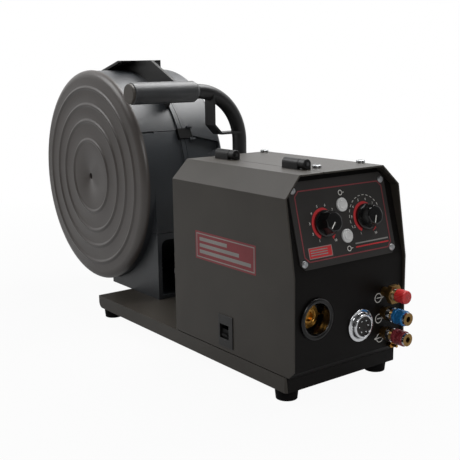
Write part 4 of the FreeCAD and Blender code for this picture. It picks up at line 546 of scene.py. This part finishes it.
def push_button(name, middle):
    """A nylon button: a raised rim round a dished face, inside the rounded bezel."""
    low, top = PLATE_FACE + 0.3, 4.5
    mesh = lathe(bmesh.new(), [(0, low), (5.3, low), (5.4, low + 0.2), (5.4, top - 0.9), (5.1, top - 0.3),
                               (4.6, top), (4.2, top - 0.1), (3.8, top - 0.6), (3.0, top - 0.7),
                               (0, top - 0.6)], centre=middle, steps=64)
    made = piece_from(name + "_cap", mesh, SLOPE, button_nylon, name)
    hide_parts(name)
    # The bezel's bead, moulded round its outer edge.
    bead = [(5.9, 3.2), (6.1, 3.5), (6.9, 3.9), (7.7, 3.7), (8.05, 3.1), (8.1, 2.2), (8.1, PLATE_FACE),
            (5.9, PLATE_FACE)]
    mesh = lathe(bmesh.new(), bead + bead[:1], centre=middle, steps=64)
    piece_from(name + "_bezel", mesh, SLOPE, button_nylon, "base")


plate_print()
dial_knob("amp_knob", AMP_DIAL, math.radians(228))
dial_knob("volt_knob", VOLT_DIAL, math.radians(248))
push_button("gas_button", GAS_BUTTON)
push_button("inch_button", INCH_BUTTON)

# ---------------------------------------------------------------- drum disc
DRUM_X, DRUM_Z = -545.0, 209.0
DRUM_SIDE = facing(spot(DRUM_X, 0, DRUM_Z), (1, 0, 0), (0, 0, 1))
# From the cabinet's middle out to half-way up the beads, the disc's radius, and how its rim rounds over.
DISC_FACE, DISC_RADIUS, RIM_WIDE, RIM_DEEP = 53.0, 170.0, 13.0, 10.0
# The beads: their radii, half their width and half their height.
BEAD_RADII, BEAD_HALF, BEAD_RISE = (142.0, 115.0, 89.5, 58.5), 4.5, 1.0


def drum_disc():
    """The disc on the drum's outer side: a broad rounded rim and four round beads."""
    back = (PANEL_FOOT.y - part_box("cover_disc")[1].y) / MM
    face = DISC_FACE - BEAD_RISE
    profile = [(0, back), (DISC_RADIUS - 1.0, back), (DISC_RADIUS - 0.1, back + 1.0)]
    for degrees in range(0, 91, 10):
        turn = math.radians(degrees)
        profile.append((DISC_RADIUS - RIM_WIDE * (1 - math.cos(turn)),
                        face - RIM_DEEP + RIM_DEEP * math.sin(turn)))
    for radius in BEAD_RADII:
        profile += [(radius + BEAD_HALF - BEAD_HALF * i / 6,
                     face + BEAD_RISE - BEAD_RISE * math.cos(math.pi * i / 6)) for i in range(13)]
    # A shallow hole in the middle.
    profile += [(5.6, face), (5.0, face - 0.5), (5.0, face - 4.0), (0, face - 4.0)]
    mesh = lathe(bmesh.new(), profile, steps=160)
    made = piece_from("moulded_disc", mesh, DRUM_SIDE, disc_abs, "housing_cover")
    made.data.set_sharp_from_angle(angle=math.radians(50))
    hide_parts("cover_disc")


drum_disc()

# ---------------------------------------------------------------- front fittings
TORCH_Y, TORCH_Z = -55.0, TRAY_TOP + 66.3
TORCH = FRONT @ Matrix.Translation((TORCH_Y * MM, TORCH_Z * MM, 0.0))


CONTROL_SOCKET = (16.0, 77.5)
# The marks by the outlets: their middles, and 1 for an arrow out or -1 for an arrow in.
FLOW_MARKS = ((47.0, 105.3, 1), (48.5, 79.0, 1), (51.3, 54.0, -1))


def front_print():
    """Pale marks by the outlets: a ring with an arrow that shows which way each flows."""
    mesh = bmesh.new()
    for y, z, way in FLOW_MARKS:
        band(mesh, arc((y, z), 5.5, 0, 360)[:-1], 0.9, -SINK, INK, closed=True)
        tip, tail = y + 7.5 * way, y - 2.6 * way
        band(mesh, [(tail, z), (tip, z)], 0.9, -SINK, INK)
        slab(mesh, [(tip + 2.4 * way, z), (tip - 1.0 * way, z + 2.0 * way), (tip - 1.0 * way, z - 2.0 * way)],
             -SINK, INK)
    piece_from("flow_marks", mesh, FRONT, pale_ink, "base", smooth=False)


front_print()


def torch_block():
    """The brass block that the torch plugs into, behind the core's face."""
    half, corner = 13.2, 13.2 - 3
    mesh = slab(bmesh.new(), [
        (-corner, -half), (corner, -half), (half, -corner), (half, corner),
        (corner, half), (-corner, half), (-half, corner), (-half, -corner)], -20.0, -15.0)
    soften(piece_from("torch_block", mesh, TORCH, brass, "base", smooth=False), 0.6)


def socket_pins():
    """Round plated pins in the control socket's insert."""
    mesh = bmesh.new()
    for centre in arc(CONTROL_SOCKET, 7.5, 0, 300, 5):
        lathe(mesh, [(0, 2.0), (1.0, 2.0), (1.0, 7.0), (0.7, 7.6), (0, 7.8)], centre=centre, steps=20)
    piece_from("socket_pins", mesh, FRONT, chrome, "base")


def torch_rings():
    """A rounded bead over the collar's front edge and a turned groove in the brass face inside it."""
    bead = [(24.5, 0.2), (24.5, 2.4), (24.0, 3.6), (22.8, 4.3), (21.2, 4.3), (19.9, 3.5), (19.2, 2.2),
            (19.1, 0.2)]
    mesh = lathe(bmesh.new(), bead + bead[:1], steps=96)
    piece_from("torch_collar_bead", mesh, TORCH, satin_phenolic, "base")
    rings = [(8.4, -12.1), (8.8, -11.2), (10.2, -11.0), (10.8, -12.1)]
    mesh = lathe(bmesh.new(), rings, steps=72)
    piece_from("torch_face_ring", mesh, TORCH, brass, "base")


torch_block()
torch_rings()
socket_pins()


DOOR_FACE = 91.0          # from the cabinet's middle to the door's outer face


def door_badge():
    """A framed field with three plain bars, printed on the door."""
    mesh, red = bmesh.new(), bmesh.new()
    low, high = DOOR_FACE - SINK, DOOR_FACE + INK
    slab(red, rectangle(-187, -64, 143, 179), low, high)
    band(mesh, rectangle(-184, -67, 146, 176), 1.4, low, high + SINK, closed=True)
    for end, foot in ((-120, 167), (-96, 159), (-73, 151)):
        slab(mesh, rectangle(-178, end, foot, foot + 4.6), low, high + SINK)
    piece_from("door_bars_pale", mesh, DOOR, grey_ink, "door", smooth=False)
    piece_from("door_bars_red", red, DOOR, dull_red_ink, "door", smooth=False)


door_badge()


# ---------------------------------------------------------------- floor, light and camera
FLOOR_HALF = 60.0
# The paper's white: near the object, and from there on, each with its distance in metres.
PAPER_NEAR, PAPER_FAR = (0.5, 0.95), (1.3, 1.0)
# The side that mirrors show as bright, and the level of the room for light and in mirrors.
BRIGHT_SIDE, ROOM_LIGHT, ROOM_MIRRORED = (-0.8, 0.6, 0.0), 0.14, 0.1
LAMP_AIM = (0.1, 0.0, 0.2)
# Each lamp's place, width in metres and watts.
LAMPS = {
    "key_lamp": ((-0.9, -1.0, 1.5), 0.9, 14.0),
    "front_lamp": ((2.2, -0.9, 1.5), 0.8, 16.0),
    "top_lamp": ((-0.1, 0.9, 2.0), 1.5, 52.0),
}
# The eye's place, its turn round the object, height and tilt in degrees, and its focus in pixels.
EYE_PLACE = (1.004912, -0.665861, 0.385985)
EYE_TURN, EYE_HEIGHT, EYE_TILT = 53.336, 11.391, -0.808
FOCUS, PICTURE, SENSOR = 825.616, 460, 36.0


def background_rays(tree):
    """The rays from the camera, and those off metal or through glass."""
    rays = node(tree, "LightPath")
    mirrored = node(tree, "Math", {0: rays.outputs["Is Glossy Ray"], 1: rays.outputs["Is Transmission Ray"]},
                    operation="MAXIMUM")
    return rays.outputs["Is Camera Ray"], mirrored.outputs[0]


def studio_floor():
    """A wide sheet of paper, white to the eye, that keeps the object's shadow."""
    plane = bpy.data.meshes.new("floor")
    corners = rectangle(-FLOOR_HALF, FLOOR_HALF, -FLOOR_HALF, FLOOR_HALF)
    plane.from_pydata([(*corner, 0) for corner in corners], [], [(0, 1, 2, 3)])
    floor = bpy.data.objects.new("floor", plane)
    bpy.context.scene.collection.objects.link(floor)
    made, tree = new_material("paper_floor")
    eye, mirrored = background_rays(tree)
    faint = node(tree, "Math", {0: mirrored, 1: 0.3}, operation="MULTIPLY")
    seen = node(tree, "Math", {0: eye, 1: faint.outputs[0]}, operation="MAXIMUM")
    away = node(tree, "VectorMath", {0: node(tree, "TexCoord").outputs["Object"]}, operation="LENGTH")
    pale = node(tree, "MapRange", {
        "Value": away.outputs["Value"], "From Min": PAPER_NEAR[0], "From Max": PAPER_FAR[0],
        "To Min": PAPER_NEAR[1], "To Max": PAPER_FAR[1]})
    part = node(tree, "Math", {0: seen.outputs[0], 1: pale.outputs[0]}, operation="MULTIPLY")
    fibre = node(tree, "TexNoise", {"Vector": node(tree, "TexCoord").outputs["Object"], "Scale": 300.0})
    tone = node(tree, "MapRange", {"Value": fibre.outputs["Fac"], "To Min": 0.38, "To Max": 0.42})
    cloth = node(tree, "BsdfDiffuse", {"Color": tone.outputs[0]})
    glow = node(tree, "Emission", {"Strength": 1.0})
    mixed = node(tree, "MixShader", {0: part.outputs[0], 1: cloth.outputs[0], 2: glow.outputs[0]})
    surface(tree, mixed)
    plane.materials.append(made)


def studio_light():
    """White where the camera looks. Mirrors see it behind the object, and a dim room elsewhere."""
    world = bpy.data.worlds.new("studio")
    bpy.context.scene.world = world
    world.use_nodes = True
    tree = world.node_tree
    tree.nodes.clear()
    eye, mirrored = background_rays(tree)
    way = node(tree, "VectorMath", {0: node(tree, "TexCoord").outputs["Generated"], 1: BRIGHT_SIDE},
               operation="DOT_PRODUCT")
    behind = node(tree, "MapRange", {"Value": way.outputs["Value"], "From Min": 0.0, "From Max": 0.5,
                                     "To Min": ROOM_MIRRORED, "To Max": 1.0})
    dim = node(tree, "Mix", {0: mirrored, 2: ROOM_LIGHT, 3: behind.outputs[0]})
    level = node(tree, "Mix", {0: eye, 2: dim.outputs[0], 3: 1.0})
    sky = node(tree, "Background", {"Color": (1.0, 1.0, 1.0, 1.0), "Strength": level.outputs[0]})
    node(tree, "OutputWorld", {"Surface": sky.outputs[0]})

    for name, (place, width, power) in LAMPS.items():
        lamp = bpy.data.lights.new(name, "AREA")
        lamp.shape, lamp.size, lamp.energy = "SQUARE", width, power
        made = bpy.data.objects.new(name, lamp)
        bpy.context.scene.collection.objects.link(made)
        made.location = place
        made.rotation_euler = (Vector(LAMP_AIM) - Vector(place)).to_track_quat("-Z", "Y").to_euler()


def camera():
    """Stands where the photograph was taken from."""
    side, height, tilt = (math.radians(a) for a in (EYE_TURN, EYE_HEIGHT, EYE_TILT))
    back = Vector((math.sin(side) * math.cos(height), -math.cos(side) * math.cos(height), math.sin(height)))
    right = (-back).cross(Vector((0, 0, 1))).normalized()
    up = right.cross(-back)
    right, up = math.cos(tilt) * right + math.sin(tilt) * up, math.cos(tilt) * up - math.sin(tilt) * right
    eye = bpy.data.cameras.new("camera")
    eye.sensor_width, eye.lens, eye.clip_end = SENSOR, FOCUS / PICTURE * SENSOR, 50.0
    made = bpy.data.objects.new("camera", eye)
    bpy.context.scene.collection.objects.link(made)
    place = Matrix((right, up, back)).transposed().to_4x4()
    place.translation = EYE_PLACE
    made.matrix_world = place
    bpy.context.scene.camera = made


studio_floor()
studio_light()
camera()
bpy.context.scene.view_settings.view_transform = "Standard"
